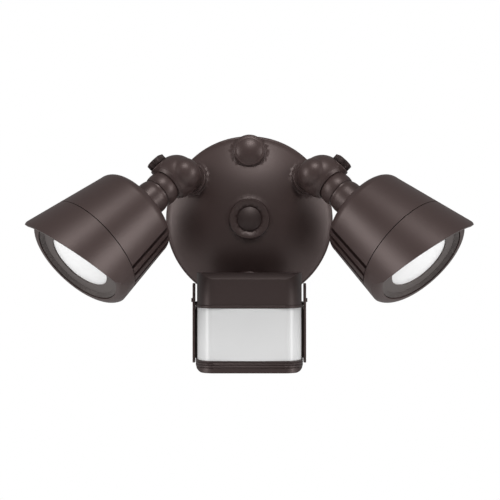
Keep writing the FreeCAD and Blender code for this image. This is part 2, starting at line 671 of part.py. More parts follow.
# --- motion sensor ---
def plan_face(offset, z, y_back, extra_front=0.0):
    """The sensor's plan grown by an offset: flat front, elliptical corners, straight sides."""
    half = SENSOR_HALF_W + offset
    front = SENSOR_FRONT_Y - offset
    flat = SENSOR_FLAT_HALF_W
    edges = []
    for side in (1, -1):
        centre = vec(side * flat, SENSOR_CORNER_Y, z)
        oval = Part.Ellipse(vec(side * flat, front, z), vec(side * half, SENSOR_CORNER_Y, z), centre)
        edges.append(Part.ArcOfEllipse(oval, 0, math.pi / 2).toShape())
        low = vec(side * half, SENSOR_CORNER_Y, z)
        edges.append(Part.LineSegment(low, vec(side * half, y_back, z)).toShape())
    if extra_front:
        mid = vec(0, front - extra_front, z)
        edges.append(Part.Arc(vec(flat, front, z), mid, vec(-flat, front, z)).toShape())
    else:
        edges.append(Part.LineSegment(vec(flat, front, z), vec(-flat, front, z)).toShape())
    edges.append(Part.LineSegment(vec(half, y_back, z), vec(-half, y_back, z)).toShape())
    return Part.Face(Part.Wire(Part.__sortEdges__(edges)))


def plan_block(offset, z_low, z_high, y_back, extra_front=0.0):
    return plan_face(offset, z_low, y_back, extra_front).extrude(vec(0, 0, z_high - z_low))


def side_profile(inset, y_back, z_low):
    """Block along X with the hood's rounded front top edge."""
    top = SENSOR_TOP_Z - inset
    front = SENSOR_FRONT_Y + inset - 2 * CHIN_FLARE * (inset == 0)
    radius = SENSOR_TOP_ROUND - inset
    diag = radius * (1 - math.sqrt(0.5))
    steps = [(y_back, top), (front + radius, top),
             ((front + diag, top - diag), (front, top - radius)), (front, z_low)]
    face = outline_face((y_back, z_low), steps, lambda p: vec(-60, p[0], p[1]))
    return face.extrude(vec(120, 0, 0))


def sensor_front_cover():
    """Hood above the lens with a lip along its lower edge, and a rail down each side."""
    low = LENS_BOTTOM_Z
    wall = SENSOR_WALL
    outer = plan_block(0, low, SENSOR_TOP_Z, SPLIT_Y).common(side_profile(0, SPLIT_Y, low - 1))
    inner = plan_block(-wall, low - 1, SENSOR_TOP_Z, SPLIT_Y + 1)
    inner = inner.common(side_profile(wall, SPLIT_Y + 1, low - 2))
    lip = plan_block(CHIN_FLARE, LENS_TOP_Z + 0.2, LENS_TOP_Z + 2.2, SPLIT_Y)
    window = plan_block(6, low - 1, LENS_TOP_Z + 0.2, SENSOR_CORNER_Y + 2)
    return outer.fuse(lip).cut(inner).cut(window).removeSplitter()


def sensor_lens():
    back = SENSOR_CORNER_Y + 1.6
    height = LENS_TOP_Z - LENS_BOTTOM_Z
    outer = plan_block(-LENS_INSET, LENS_BOTTOM_Z, LENS_TOP_Z, back, LENS_BULGE)
    inner = plan_block(-LENS_INSET - SENSOR_LENS_T, LENS_BOTTOM_Z - 1, LENS_BOTTOM_Z + height + 1, back + 1,
                       LENS_BULGE)
    return outer.cut(inner)


def front_outline(half, low, high, round_r, y_low, y_high):
    """Block along Y with rounded lower corners as seen from the front."""
    diag = round_r * (1 - math.sqrt(0.5))
    steps = [(half, low + round_r), ((half - diag, low + diag), (half - round_r, low)),
             (-half + round_r, low), ((-half + diag, low + diag), (-half, low + round_r)), (-half, high)]
    face = outline_face((half, high), steps, lambda p: vec(p[0], y_low, p[1]))
    return face.extrude(vec(0, y_high - y_low, 0))


def sensor_bottom_cover():
    """Chin below the lens: a shallow cup with fine grooves round it and two dial wells."""
    top = LENS_BOTTOM_Z - 0.1
    wall = SENSOR_WALL
    outer = plan_block(CHIN_FLARE, SENSOR_BOTTOM_Z, top, SPLIT_Y)
    outer = outer.common(front_outline(SENSOR_HALF_W + CHIN_FLARE, SENSOR_BOTTOM_Z, top,
                                       SENSOR_CHIN_ROUND, SENSOR_FRONT_Y - 5, SPLIT_Y))
    inner = plan_block(CHIN_FLARE - wall, SENSOR_BOTTOM_Z, top + 1, SPLIT_Y - wall)
    inner = inner.common(front_outline(SENSOR_HALF_W + CHIN_FLARE - wall, SENSOR_BOTTOM_Z + wall, top + 1,
                                       SENSOR_CHIN_ROUND - wall, SENSOR_FRONT_Y - 5, SPLIT_Y))
    cover = outer.cut(inner)
    for level in (1.3, 3.0, 4.9):
        band = plan_block(CHIN_FLARE + 2, top - level - 0.35, top - level + 0.35, SPLIT_Y - 4)
        core = plan_block(CHIN_FLARE - 0.4, top - level - 1, top - level + 1, SPLIT_Y)
        cover = cover.cut(band.cut(core))
    wells = [cylinder(vec(x, DIAL_Y, SENSOR_BOTTOM_Z - 1), Z_AXIS, DIAL_R + 0.4, 8)
             for x in (-DIAL_X, DIAL_X)]
    return cover.cut(wells).removeSplitter()


def sensor_rear_housing():
    """Back half: narrow at the hood, wider below, with a pivot boss inside each side."""
    wall = SENSOR_WALL
    front = SPLIT_Y + 0.05
    low = LENS_BOTTOM_Z - 0.1
    top = SENSOR_TOP_Z - 0.6
    wide = SENSOR_WIDE_HALF_W
    narrow = SENSOR_HALF_W
    outer = box(vec(-narrow, front, low), vec(narrow, SENSOR_BACK_Y, top))
    outer = outer.makeFillet(6.0, [e for e in outer.Edges if e.BoundBox.YMin > SENSOR_BACK_Y - 0.1
                                   and e.BoundBox.ZMin > top - 0.1])
    outer = outer.fuse(box(vec(-wide, front, low), vec(wide, SENSOR_BACK_Y, SENSOR_WIDE_TOP_Z)))
    inner = box(vec(-narrow + wall, front - 1, low + wall),
                vec(narrow - wall, SENSOR_BACK_Y - wall, top - wall))
    inner = inner.makeFillet(4.0, [e for e in inner.Edges if e.BoundBox.YMin > SENSOR_BACK_Y - wall - 0.1
                                   and e.BoundBox.ZMin > top - wall - 0.1])
    shell = outer.cut(inner)
    holes = [cylinder(vec(0, SENSOR_BACK_Y - 3, PIVOT_Z - 16), Y_AXIS, 4.0, 6)]
    for side in (-1, 1):
        boss_x = narrow - 7.5
        boss = cylinder(vec(side * boss_x, PIVOT_Y, PIVOT_Z), X_AXIS * side, 4.4, wide - boss_x)
        slice_low = vec(-60, front, PIVOT_Z - 6)
        boss = boss.common(box(slice_low, vec(60, PIVOT_Y + 8, PIVOT_Z + 6)))
        shell = shell.fuse(boss)
        holes.append(cylinder(vec(side * (boss_x + 1.5), PIVOT_Y, PIVOT_Z), X_AXIS * side, PIVOT_R + 0.04, 12))
    return shell.cut(holes).removeSplitter()


def sensor_yoke():
    """Back web on the hollow stem, a cross bar below it and one thin arm down each side."""
    web = box(vec(-WEB_HALF_W, WEB_Y - WEB_T, CROSS_BOTTOM_Z), vec(WEB_HALF_W, WEB_Y, WEB_TOP_Z))
    web = web.makeFillet(4.0, [e for e in web.Edges
                               if e.BoundBox.YLength > 1.5 and e.BoundBox.ZMin > WEB_TOP_Z - 1])
    cross = box(vec(-ARM_OUTER_X, WEB_Y - WEB_T, CROSS_BOTTOM_Z), vec(ARM_OUTER_X, WEB_Y, CROSS_TOP_Z))
    pieces = [cross]
    for side in (-1, 1):
        low_x = min(side * ARM_INNER_X, side * ARM_OUTER_X)
        arm = box(vec(low_x, ARM_FRONT_Y, ARM_BOTTOM_Z), vec(low_x + ARM_OUTER_X - ARM_INNER_X, ARM_BACK_Y,
                                                           ARM_TOP_Z))
        ends = [e for e in arm.Edges if e.BoundBox.XLength > 1]
        arm = arm.makeFillet(2.5, ends)
        notch = box(vec(-60, ARM_FRONT_Y - 1, ARM_BOTTOM_Z + 2.8), vec(60, ARM_FRONT_Y + 1.4,
                                                                      ARM_BOTTOM_Z + 3.8))
        reach = box(vec(low_x, ARM_BACK_Y - 2, CROSS_BOTTOM_Z), vec(low_x + ARM_OUTER_X - ARM_INNER_X, WEB_Y,
                                                                   CROSS_TOP_Z))
        detent = cylinder(vec(side * (ARM_OUTER_X - 0.4), ARM_FRONT_Y + 4, DETENT_Z), X_AXIS * side, 1.5, 1.4)
        pieces += [arm.cut(notch), reach, detent]
    stem = cylinder(vec(0, WEB_Y - 1, SENSOR_HUB_Z), Y_AXIS, STEM_R, SENSOR_HUB_Y + 9.0 - WEB_Y + 1)
    yoke = web.fuse(pieces + [stem])
    holes = [cylinder(vec(0, WEB_Y - 5, SENSOR_HUB_Z), Y_AXIS, STEM_BORE_R, 30),
             cylinder(vec(-60, PIVOT_Y, PIVOT_Z), X_AXIS, PIVOT_R + 0.02, 120)]
    return yoke.cut(holes).removeSplitter()


def pivot_pins():
    pins = []
    for side in (-1, 1):
        start = vec(side * (SENSOR_HALF_W - 5.5), PIVOT_Y, PIVOT_Z)
        pins.append(cylinder(start, X_AXIS * side, PIVOT_R, ARM_OUTER_X - SENSOR_HALF_W + 5.5))
    return Part.makeCompound(pins)


def circuit_board():
    back = SPLIT_Y + 4.6
    board = box(vec(-29, back - 1.6, LENS_BOTTOM_Z + 2.5), vec(29, back, LENS_TOP_Z + 7))
    relay = box(vec(-27, back - 12, -98), vec(-12, back - 1.5, -83))
    capacitor = cylinder(vec(20, back - 1.5, -91), SENSOR_STEM, 4.5, 9)
    return board.fuse([relay, capacitor]).removeSplitter()


def pir_detector():
    middle = (LENS_TOP_Z + LENS_BOTTOM_Z) / 2
    base = vec(0, SPLIT_Y + 3.0, middle)
    can = cylinder(base, SENSOR_STEM, 4.15, 4.2).fuse(cylinder(base, SENSOR_STEM, 4.7, 0.6))
    window = box(vec(-2, SPLIT_Y - 1.6, middle - 1.5), vec(2, SPLIT_Y - 0.9, middle + 1.5))
    return can.cut(window)


def dial(x):
    knob = cylinder(vec(x, DIAL_Y, SENSOR_BOTTOM_Z - 0.6), Z_AXIS, DIAL_R, 5.0)
    knob = knob.makeChamfer(0.5, [knob.Edges[2]])
    shaft = cylinder(vec(x, DIAL_Y, SENSOR_BOTTOM_Z + 4), Z_AXIS, 2.0, 5.6)
    slot = box(vec(x - DIAL_R, DIAL_Y - 0.6, SENSOR_BOTTOM_Z - 1), vec(x + DIAL_R, DIAL_Y + 0.6, SENSOR_BOTTOM_Z + 0.6))
    return knob.fuse(shaft).cut(slot)


def dial_block():
    """Potentiometer bodies that carry the two dials on one small shelf."""
    shelf = box(vec(-22, DIAL_Y - 6, SENSOR_BOTTOM_Z + 5.6), vec(22, SPLIT_Y - SENSOR_WALL, SENSOR_BOTTOM_Z + 7.2))
    for x in (-DIAL_X, DIAL_X):
        pot = box(vec(x - 5, DIAL_Y - 5, SENSOR_BOTTOM_Z + 7.0), vec(x + 5, DIAL_Y + 5, SENSOR_BOTTOM_Z + 12))
        shelf = shelf.fuse(pot)
    for x in (-DIAL_X, DIAL_X):
        shelf = shelf.cut(cylinder(vec(x, DIAL_Y, SENSOR_BOTTOM_Z + 4), Z_AXIS, 2.06, 6.0))
    return shelf.removeSplitter()


def export(name, shape):
    shape.exportStep("parts/" + name + ".step")
    solids = shape.Solids
    print(name, len(solids), "solids", round(shape.Volume / 1000, 2), "cm3", "valid" if shape.isValid() else "INVALID")


def both_sides(name, shape):
    export("left_" + name, shape)
    export("right_" + name, mirror_x(shape))


def main():
    os.makedirs("parts", exist_ok=True)
    export("canopy_cover", canopy_cover())
    export("canopy_gasket", canopy_gasket())
    export("mounting_bar", mounting_bar())
    export("centre_screw", centre_screw())
    export("centre_cap", centre_cap())
    export("ground_screw", ground_screw())
    export("top_hub_plug", top_hub_plug())
    export("power_module", power_module())
    both_sides("hub_seal", hub_seal(LEFT_HUB, LEFT_STEM))
    both_sides("locknut", locknut(LEFT_HUB, LEFT_STEM))
    both_sides("elbow", elbow())
    both_sides("thumb_screw", thumb_screw())
    both_sides("brake_pad", brake_pad())
    both_sides("tilt_pin", tilt_pin())
    both_sides("neck", neck())
    head_parts = {"rear_housing": head_rear_housing, "seam_gasket": seam_gasket,
                  "front_shroud": front_shroud, "bezel": bezel, "lens": head_lens,
                  "reflector": reflector, "led_board": led_board, "heat_plate": heat_plate,
                  "board_screws": board_screws, "neck_nut": neck_nut}
    for name, make in head_parts.items():
        both_sides(name, moved(make(), HEAD_FRAME))
    export("sensor_front_cover", sensor_front_cover())
    export("sensor_lens", sensor_lens())
    export("sensor_rear_housing", sensor_rear_housing())
    export("sensor_yoke", sensor_yoke())
    export("yoke_locknut", locknut(SENSOR_HUB, SENSOR_STEM))
    export("yoke_seal", hub_seal(SENSOR_HUB, SENSOR_STEM))
    export("sensor_bottom_cover", sensor_bottom_cover())
    export("pivot_pins", pivot_pins())
    export("circuit_board", circuit_board())
    export("pir_detector", pir_detector())
    export("time_dial", dial(-DIAL_X))
    export("range_dial", dial(DIAL_X))
    export("dial_block", dial_block())


main()
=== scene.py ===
import json
import math

import bmesh
import bpy
from bpy.props import FloatProperty, FloatVectorProperty, IntProperty, PointerProperty
from mathutils import Matrix, Vector


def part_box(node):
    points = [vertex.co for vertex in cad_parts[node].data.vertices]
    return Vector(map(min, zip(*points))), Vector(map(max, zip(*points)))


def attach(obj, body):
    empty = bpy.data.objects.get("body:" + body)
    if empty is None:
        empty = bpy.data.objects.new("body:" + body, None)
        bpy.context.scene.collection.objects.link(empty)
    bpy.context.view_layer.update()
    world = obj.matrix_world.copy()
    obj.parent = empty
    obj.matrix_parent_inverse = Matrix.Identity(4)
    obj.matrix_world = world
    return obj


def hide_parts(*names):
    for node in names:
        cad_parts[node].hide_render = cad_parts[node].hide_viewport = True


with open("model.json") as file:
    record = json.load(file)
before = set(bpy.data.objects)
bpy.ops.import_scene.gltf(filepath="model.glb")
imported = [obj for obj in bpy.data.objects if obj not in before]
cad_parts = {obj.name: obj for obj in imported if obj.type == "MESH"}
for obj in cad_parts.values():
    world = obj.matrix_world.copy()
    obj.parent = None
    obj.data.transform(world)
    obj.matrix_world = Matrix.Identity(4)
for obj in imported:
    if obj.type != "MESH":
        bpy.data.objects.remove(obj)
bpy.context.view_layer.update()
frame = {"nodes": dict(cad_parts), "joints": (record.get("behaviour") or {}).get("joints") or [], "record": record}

bl_info = {
    "name": "Motion Sensor Security Light",
    "version": (1, 0, 0),
    "blender": (4, 5, 0),
    "location": "View3D > Sidebar > Light",
    "description": "Dresses the two-head security light over its CAD frame",
    "category": "Object",
}

MM = 0.001
SIDES = ("left", "right")


# --- places read from the frame ---
def joint(name):
    return next(j for j in frame["joints"] if j["name"] == name)


def box_centre(node):
    low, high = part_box(node)
    return (low + high) / 2


BALL_CENTRE = Vector(joint("left_tilt")["pos_m"])
UPPER_SIDE = Vector(joint("left_tilt")["axis"]).normalized()
FORWARD = (box_centre("left_heat_plate") - BALL_CENTRE).normalized()
LEFT_HUB = Vector(joint("left_swivel")["pos_m"])
LEFT_STEM = -Vector(joint("left_swivel")["axis"]).normalized()
KNOB_FOOT = Vector(joint("left_thumb_screw_turn")["pos_m"])
SENSOR_LOW, SENSOR_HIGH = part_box("sensor_front_cover")
LENS_LOW, LENS_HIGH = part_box("sensor_lens")


def axes_matrix(origin, x_axis, y_axis, z_axis):
    return Matrix((
        (x_axis.x, y_axis.x, z_axis.x, origin.x),
        (x_axis.y, y_axis.y, z_axis.y, origin.y),
        (x_axis.z, y_axis.z, z_axis.z, origin.z),
        (0, 0, 0, 1)))


def facing(origin, z_axis, near_y):
    """Matrix of a place whose local Z is z_axis and whose local Y is close to near_y."""
    x_axis = near_y.cross(z_axis).normalized()
    return axes_matrix(origin, x_axis, z_axis.cross(x_axis), z_axis)


# --- sizes and colours that a user would change ---
def length(name, text, millimetres, low=0.0):
    return FloatProperty(name=name, description=text, default=millimetres * MM, min=low, unit="LENGTH",
                         precision=5)


def angle(name, text, degrees):
    return FloatProperty(name=name, description=text, default=math.radians(degrees), subtype="ANGLE")


def colour(name, text, value):
    return FloatVectorProperty(name=name, description=text, default=value, size=3, subtype="COLOR",
                               min=0.0, max=1.0)


class CanopySizes(bpy.types.PropertyGroup):
    radius: length("Radius", "Outer radius of the canopy's lip", 63.5)
    dome_radius: length("Dome radius", "Radius of the domed part inside the lip", 61.8)
    dome_front: length("Dome front", "Distance of the dome's crown from the wall", 24.0)
    wall: length("Wall", "Thickness of the cover", 2.2)
    boss_radius: length("Centre boss", "Radius of the raised ring in the middle", 15.0)
    boss_rise: length("Boss rise", "Height of the centre boss over the crown", 1.6)
    cap_radius: length("Cap radius", "Radius of the cap over the centre screw", 9.0)
    cap_rise: length("Cap rise", "Height of the cap over its boss", 3.0)


class ArmSizes(bpy.types.PropertyGroup):
    elbow_radius: length("Elbow", "Radius of the elbow's ball", 16.0)
    shoulder_radius: length("Shoulder", "Radius of the shoulder on the stem", 11.5)
    shoulder_lift: length("Shoulder lift", "Distance of the shoulder's centre from the hub's face", 30.7)
    post_radius: length("Post", "Radius of the post between the shoulder and the locknut", 9.6)
    ball_distance: length("Ball distance", "From the elbow's centre to the neck ball's centre", 15.7)
    ball_radius: length("Neck ball", "Radius of the ball on the neck", 12.4)
    seat_gap: length("Seat gap", "Gap between the ball and its seat", 0.3)
    mouth_distance: length("Mouth", "From the elbow's centre to the plane of its mouth", 10.2)
    mouth_radius: length("Mouth rim", "Radius of the mouth's front edge", 12.1)
    mouth_chamfer: length("Mouth chamfer", "Depth of the chamfer round the mouth", 2.2)
    boss_radius: length("Screw boss", "Radius of the boss under the thumb screw", 7.7)
    dome_distance: length("Neck dome", "From the ball's centre to the centre of the neck's dome", 10.4)
    dome_radius: length("Neck radius", "Radius of the neck's dome and barrel", 12.4)
    waist_radius: length("Waist", "Radius of the groove between the ball and the dome", 10.9)
    waist_width: length("Waist width", "Width of that groove", 1.6)
    blend_steps: IntProperty(name="Blend", description="Smoothing steps that blend the cast forms",
                             default=10, min=0)


class HeadSizes(bpy.types.PropertyGroup):
    back_distance: length("Back", "From the neck ball's centre to the head's back plane", 22.9)
    back_radius: length("Back radius", "Radius of the head at its back plane", 32.8)
    flare: angle("Flare", "Half angle of the head's cone", 8.37)
    back_round: length("Back rounding", "Radius of the rounded back edge", 8.5)
    wall: length("Housing wall", "Wall of the rear housing", 4.4)
    seam: length("Seam", "From the back plane to the seam", 45.0)
    seam_gap: length("Seam gap", "Width of the seam", 0.6)
    hood_wall: length("Hood wall", "Wall of the hood", 2.2)
    lean: angle("Lean", "Lean of the rim, the bezel and the lens against the cone", 7.0)
    lean_direction: angle("Lean direction", "Where round the axis the rim rises", 128.0)
    rim: length("Rim", "From the back plane to the rim, on the axis", 62.8)
    rim_round: length("Rim rounding", "Radius of the rim's rounded outer edge", 7.0)
    rim_land: length("Rim land", "Outer radius of the flat of the rim", 34.9)
    rim_bore: length("Rim bore", "Radius of the opening in the rim", 34.2)
    hood: length("Hood", "From the back plane to the hood's near edge plane, on the axis", 63.2)
    hood_slant: length("Hood slant", "Rise of that plane at the cone's radius", 14.8)
    hood_direction: angle("Hood direction", "Where round the axis that plane rises", 46.0)
    tip: length("Tip", "From the back plane to the plane that trims the tip, on the axis", 59.6)
    tip_slant: length("Tip slant", "Rise of that plane at the cone's radius", 30.0)
    tip_direction: angle("Tip direction", "Where round the axis that plane rises", 10.0)
    cheek: length("Cheek", "From the back plane to the plane that ends the hood's side, on the axis", 65.6)
    cheek_slant: length("Cheek slant", "Rise of that plane at the cone's radius", 31.0)
    cheek_direction: angle("Cheek direction", "Where round the axis that plane rises", 50.0)
    grooves: IntProperty(name="Grooves", description="Grooves between the cooling fins", default=7, min=0)
    groove_width: length("Groove width", "Width of a groove", 3.0)
    groove_depth: length("Groove depth", "Depth of a groove", 2.4)
    groove_start: angle("First groove", "Where round the axis the first groove is", -50.0)
    groove_pitch: angle("Groove pitch", "Angle from groove to groove", -11.5)
    lens: length("Lens", "From the back plane to the lens's shoulder", 58.9)
    lens_radius: length("Lens radius", "Outer radius of the lens", 25.8)
    window_radius: length("Window", "Radius of the lens that shows", 23.9)
    lens_rise: length("Lens rise", "Height of the lens's dome", 4.5)
    bezel_ledge: length("Bezel ledge", "From the back plane to the ledge that the bezel rests on", 50.5)
    bezel_foot: length("Bezel foot", "Outer radius of the bezel at its ledge", 37.0)
    bezel_top: length("Bezel top", "From the back plane to the bezel's outer edge", 62.0)
    bezel_ring: length("Bezel ring", "Outer radius of the flat ring round the lens", 31.0)
    bezel_steps: IntProperty(name="Bezel steps", description="Small steps outside the flat ring", default=4,
                             min=1)


class SensorSizes(bpy.types.PropertyGroup):
    flat_half_width: length("Flat", "Half width of the flat front", 25.0)
    corner_y: length("Corner", "Where the rounded corners end, from the wall", 46.0)
    top_round: length("Top rounding", "Radius of the hood's front top edge", 12.0)
    lip_height: length("Lip", "Height of the lip along the hood's lower edge", 2.0)
    flare: length("Flare", "How far the lip and the chin stand out", 0.9)
    groove_depth: length("Groove depth", "Depth of the fine grooves round the chin", 0.4)


class Finishes(bpy.types.PropertyGroup):
    bronze: colour("Bronze", "Powder coat of the metal parts", (0.036, 0.022, 0.0205))
    bronze_edge: colour("Bronze edge", "Rubbed edges of the powder coat", (0.075, 0.056, 0.052))
    plastic: colour("Plastic", "Bronze plastic of the sensor and the knobs", (0.023, 0.0145, 0.0138))
    bezel: colour("Bezel", "Plastic round the lamp's lens", (0.075, 0.066, 0.063))
    head_lens: colour("Head lens", "Frosted lens of the lamp heads", (0.90, 0.90, 0.90))
    sensor_lens: colour("Sensor lens", "Milky lens of the sensor", (0.62, 0.62, 0.62))
    rubber: colour("Rubber", "Gaskets and seals", (0.016, 0.015, 0.015))
    zinc: colour("Zinc", "Zinc plated steel", (0.55, 0.55, 0.53))
    aluminium: colour("Aluminium", "Bare aluminium", (0.66, 0.66, 0.66))
    board: colour("Circuit board", "Green solder mask", (0.015, 0.11, 0.04))
    dial: colour("Dials", "Light grey plastic of the dials", (0.45, 0.45, 0.44))
    ground: colour("Ground screw", "Green paint of the ground screw", (0.03, 0.22, 0.06))
    floor: colour("Floor", "Pale floor", (0.92, 0.92, 0.92))


class LightSettings(bpy.types.PropertyGroup):
    canopy: PointerProperty(type=CanopySizes)
    arm: PointerProperty(type=ArmSizes)
    head: PointerProperty(type=HeadSizes)
    sensor: PointerProperty(type=SensorSizes)
    finishes: PointerProperty(type=Finishes)


def settings():
    return bpy.context.scene.security_light


# --- modelling helpers ---
def deselect():
    if bpy.context.object and bpy.context.object.mode != "OBJECT":
        bpy.ops.object.mode_set(mode="OBJECT")
    bpy.ops.object.select_all(action="DESELECT")


def pick(piece):
    """The piece alone is selected and active."""
    deselect()
    piece.hide_set(False)
    piece.select_set(True)
    bpy.context.view_layer.objects.active = piece
    return piece


def edit_all(piece):
    pick(piece)
    bpy.ops.object.mode_set(mode="EDIT")
    bpy.ops.mesh.select_mode(type="VERT")
    bpy.ops.mesh.select_all(action="SELECT")


def named(name):
    piece = bpy.context.object
    piece.name = name
    piece.data.name = name
    return piece


def face_outwards(piece):
    """Recalculates the normals and turns a closed mesh outside out if they point in."""
    edit_all(piece)
    bpy.ops.mesh.remove_doubles(threshold=0.002 * MM)
    bpy.ops.mesh.normals_make_consistent(inside=False)
    bpy.ops.object.mode_set(mode="OBJECT")
    mesh = bmesh.new()
    mesh.from_mesh(piece.data)
    inside_out = mesh.calc_volume(signed=True) < 0
    mesh.free()
    if inside_out:
        edit_all(piece)
        bpy.ops.mesh.flip_normals()
        bpy.ops.object.mode_set(mode="OBJECT")
    return piece


def turned(name, profile, segments=96, ring=False):
    """Piece turned about Z: a circle is extruded from (radius, z) point to point.

    A ring's last circle is bridged to its first. Any other piece is closed by flat ends or
    by a pole where its last radius is 0."""
    deselect()
    radius, height = profile[0]
    fill = "NOTHING" if ring else "NGON"
    bpy.ops.mesh.primitive_circle_add(vertices=segments, radius=radius, fill_type=fill, enter_editmode=True)
    bpy.ops.transform.translate(value=(0, 0, height))
    for next_radius, next_height in profile[1:]:
        step = (0, 0, next_height - height)
        bpy.ops.mesh.extrude_region_move(TRANSFORM_OT_translate={"value": step})
        if next_radius == 0:
            bpy.ops.mesh.merge(type="CENTER")
        elif abs(next_radius - radius) > 1e-9:
            scale = next_radius / radius
            bpy.ops.transform.resize(value=(scale, scale, 1), center_override=(0, 0, next_height))
        radius, height = next_radius, next_height
    if ring:
        bpy.ops.mesh.select_all(action="DESELECT")
        bpy.ops.mesh.select_mode(type="EDGE")
        bpy.ops.mesh.select_non_manifold(extend=False)
        bpy.ops.mesh.bridge_edge_loops()
    bpy.ops.object.mode_set(mode="OBJECT")
    return face_outwards(named(name))


def arc(centre, radius, start, end, steps):
    """Points of an arc in (radius, z), its angles in degrees from the radial direction."""
    points = []
    for k in range(steps + 1):
        turn = math.radians(start + (end - start) * k / steps)
        points.append((centre[0] + radius * math.cos(turn), centre[1] + radius * math.sin(turn)))
    return points


def dome(radius, foot, crown, steps, end_radius=0.0):
    """Points of a spherical dome in (radius, z), from its foot towards its crown."""
    rise = crown - foot
    sphere = (radius * radius + rise * rise) / (2 * rise)
    first = math.asin(radius / sphere)
    last = math.asin(end_radius / sphere)
    points = []
    for k in range(steps + 1):
        turn = first + (last - first) * k / steps
        points.append((max(sphere * math.sin(turn), 0.0), crown - sphere * (1 - math.cos(turn))))
    if end_radius == 0.0:
        points[-1] = (0, crown)
    return points


def ball(name, centre, radius, segments=48):
    deselect()
    bpy.ops.mesh.primitive_uv_sphere_add(segments=segments, ring_count=segments // 2, radius=radius,
                                         location=centre)
    piece = named(name)
    settle(piece)
    return piece


def rod(name, start, end, radius, segments=48):
    """Plain cylinder from point to point."""
    along = end - start
    piece = turned(name, [(radius, 0), (radius, along.length)], segments)
    near = Vector((0, 0, 1)) if abs(along.normalized().z) < 0.9 else Vector((0, 1, 0))
    return settle(piece, facing(start, along.normalized(), near))


def block(name, low, high):
    deselect()
    bpy.ops.mesh.primitive_cube_add(size=1)
    piece = named(name)
    piece.scale = high - low
    piece.location = (low + high) / 2
    return settle(piece)


def settle(piece, place=None):
    """Puts the piece's place into its mesh and leaves its object at the origin."""
    if place is not None:
        piece.matrix_world = place @ piece.matrix_world
    pick(piece)
    bpy.ops.object.transform_apply(location=True, rotation=True, scale=True)
    return piece


def boolean(piece, cutter, operation):
    pick(piece)
    step = piece.modifiers.new(operation.lower(), "BOOLEAN")
    step.operation = operation
    step.object = cutter
    step.solver = "EXACT"
    bpy.ops.object.modifier_apply(modifier=step.name)
    bpy.data.objects.remove(cutter, do_unlink=True)
    return piece


def joined(name, pieces):
    deselect()
    for piece in pieces:
        piece.select_set(True)
    bpy.context.view_layer.objects.active = pieces[0]
    bpy.ops.object.join()
    return named(name)


def copy_of(piece, name):
    pick(piece)
    bpy.ops.object.duplicate(linked=False)
    return named(name)


def mirrored(piece, name):
    """Copy of a left piece for the right side."""
    other = copy_of(piece, name)
    other.scale.x = -1
    settle(other)
    return face_outwards(other)


def round_edges(piece, width, segments=3, limit=30.0):
    pick(piece)
    step = piece.modifiers.new("edge_rounding", "BEVEL")
    step.width = width
    step.segments = segments
    step.limit_method = "ANGLE"
    step.angle_limit = math.radians(limit)
    step.use_clamp_overlap = True
    bpy.ops.object.modifier_apply(modifier=step.name)
    return piece


def smooth(piece, limit=35.0):
    pick(piece)
    bpy.ops.object.shade_smooth_by_angle(angle=math.radians(limit))
    step = piece.modifiers.new("even_normals", "WEIGHTED_NORMAL")
    step.keep_sharp = True
    bpy.ops.object.modifier_apply(modifier=step.name)
    return piece


def hand_over(piece, material, body, slot, *nodes):
    """Finishes a piece: its material, the body that carries it and the nodes it stands for."""
    piece.data.materials.clear()
    piece.data.materials.append(material)
    if nodes:
        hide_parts(*nodes)
    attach(piece, body)
    return piece


def both_sides(piece, name, material, body, slot, nodes=(), rounding=0.0, segments=3, limit=35.0):
    """Finishes a left piece and its mirrored copy on the right."""
    pieces = {"left": piece, "right": mirrored(piece, "right_" + name)}
    piece.name = "left_" + name
    for side, one in pieces.items():
        if rounding:
            round_edges(one, rounding, segments)
        smooth(one, limit)
        hand_over(one, material, side + "_" + body, slot, *[side + "_" + node for node in nodes])


def node_copy(node, name):
    """Copy of a CAD node with its loose triangles merged."""
    piece = copy_of(frame["nodes"][node], name)
    edit_all(piece)
    bpy.ops.mesh.remove_doubles(threshold=0.005 * MM)
    bpy.ops.object.mode_set(mode="OBJECT")
    return piece


# --- materials ---
def socket_group(name, inputs, outputs):
    group = bpy.data.node_groups.new(name, "ShaderNodeTree")
    for label, kind, default in inputs:
        socket = group.interface.new_socket(name=label, in_out="INPUT", socket_type=kind)
        socket.default_value = default
    for label, kind in outputs:
        group.interface.new_socket(name=label, in_out="OUTPUT", socket_type=kind)
    return group


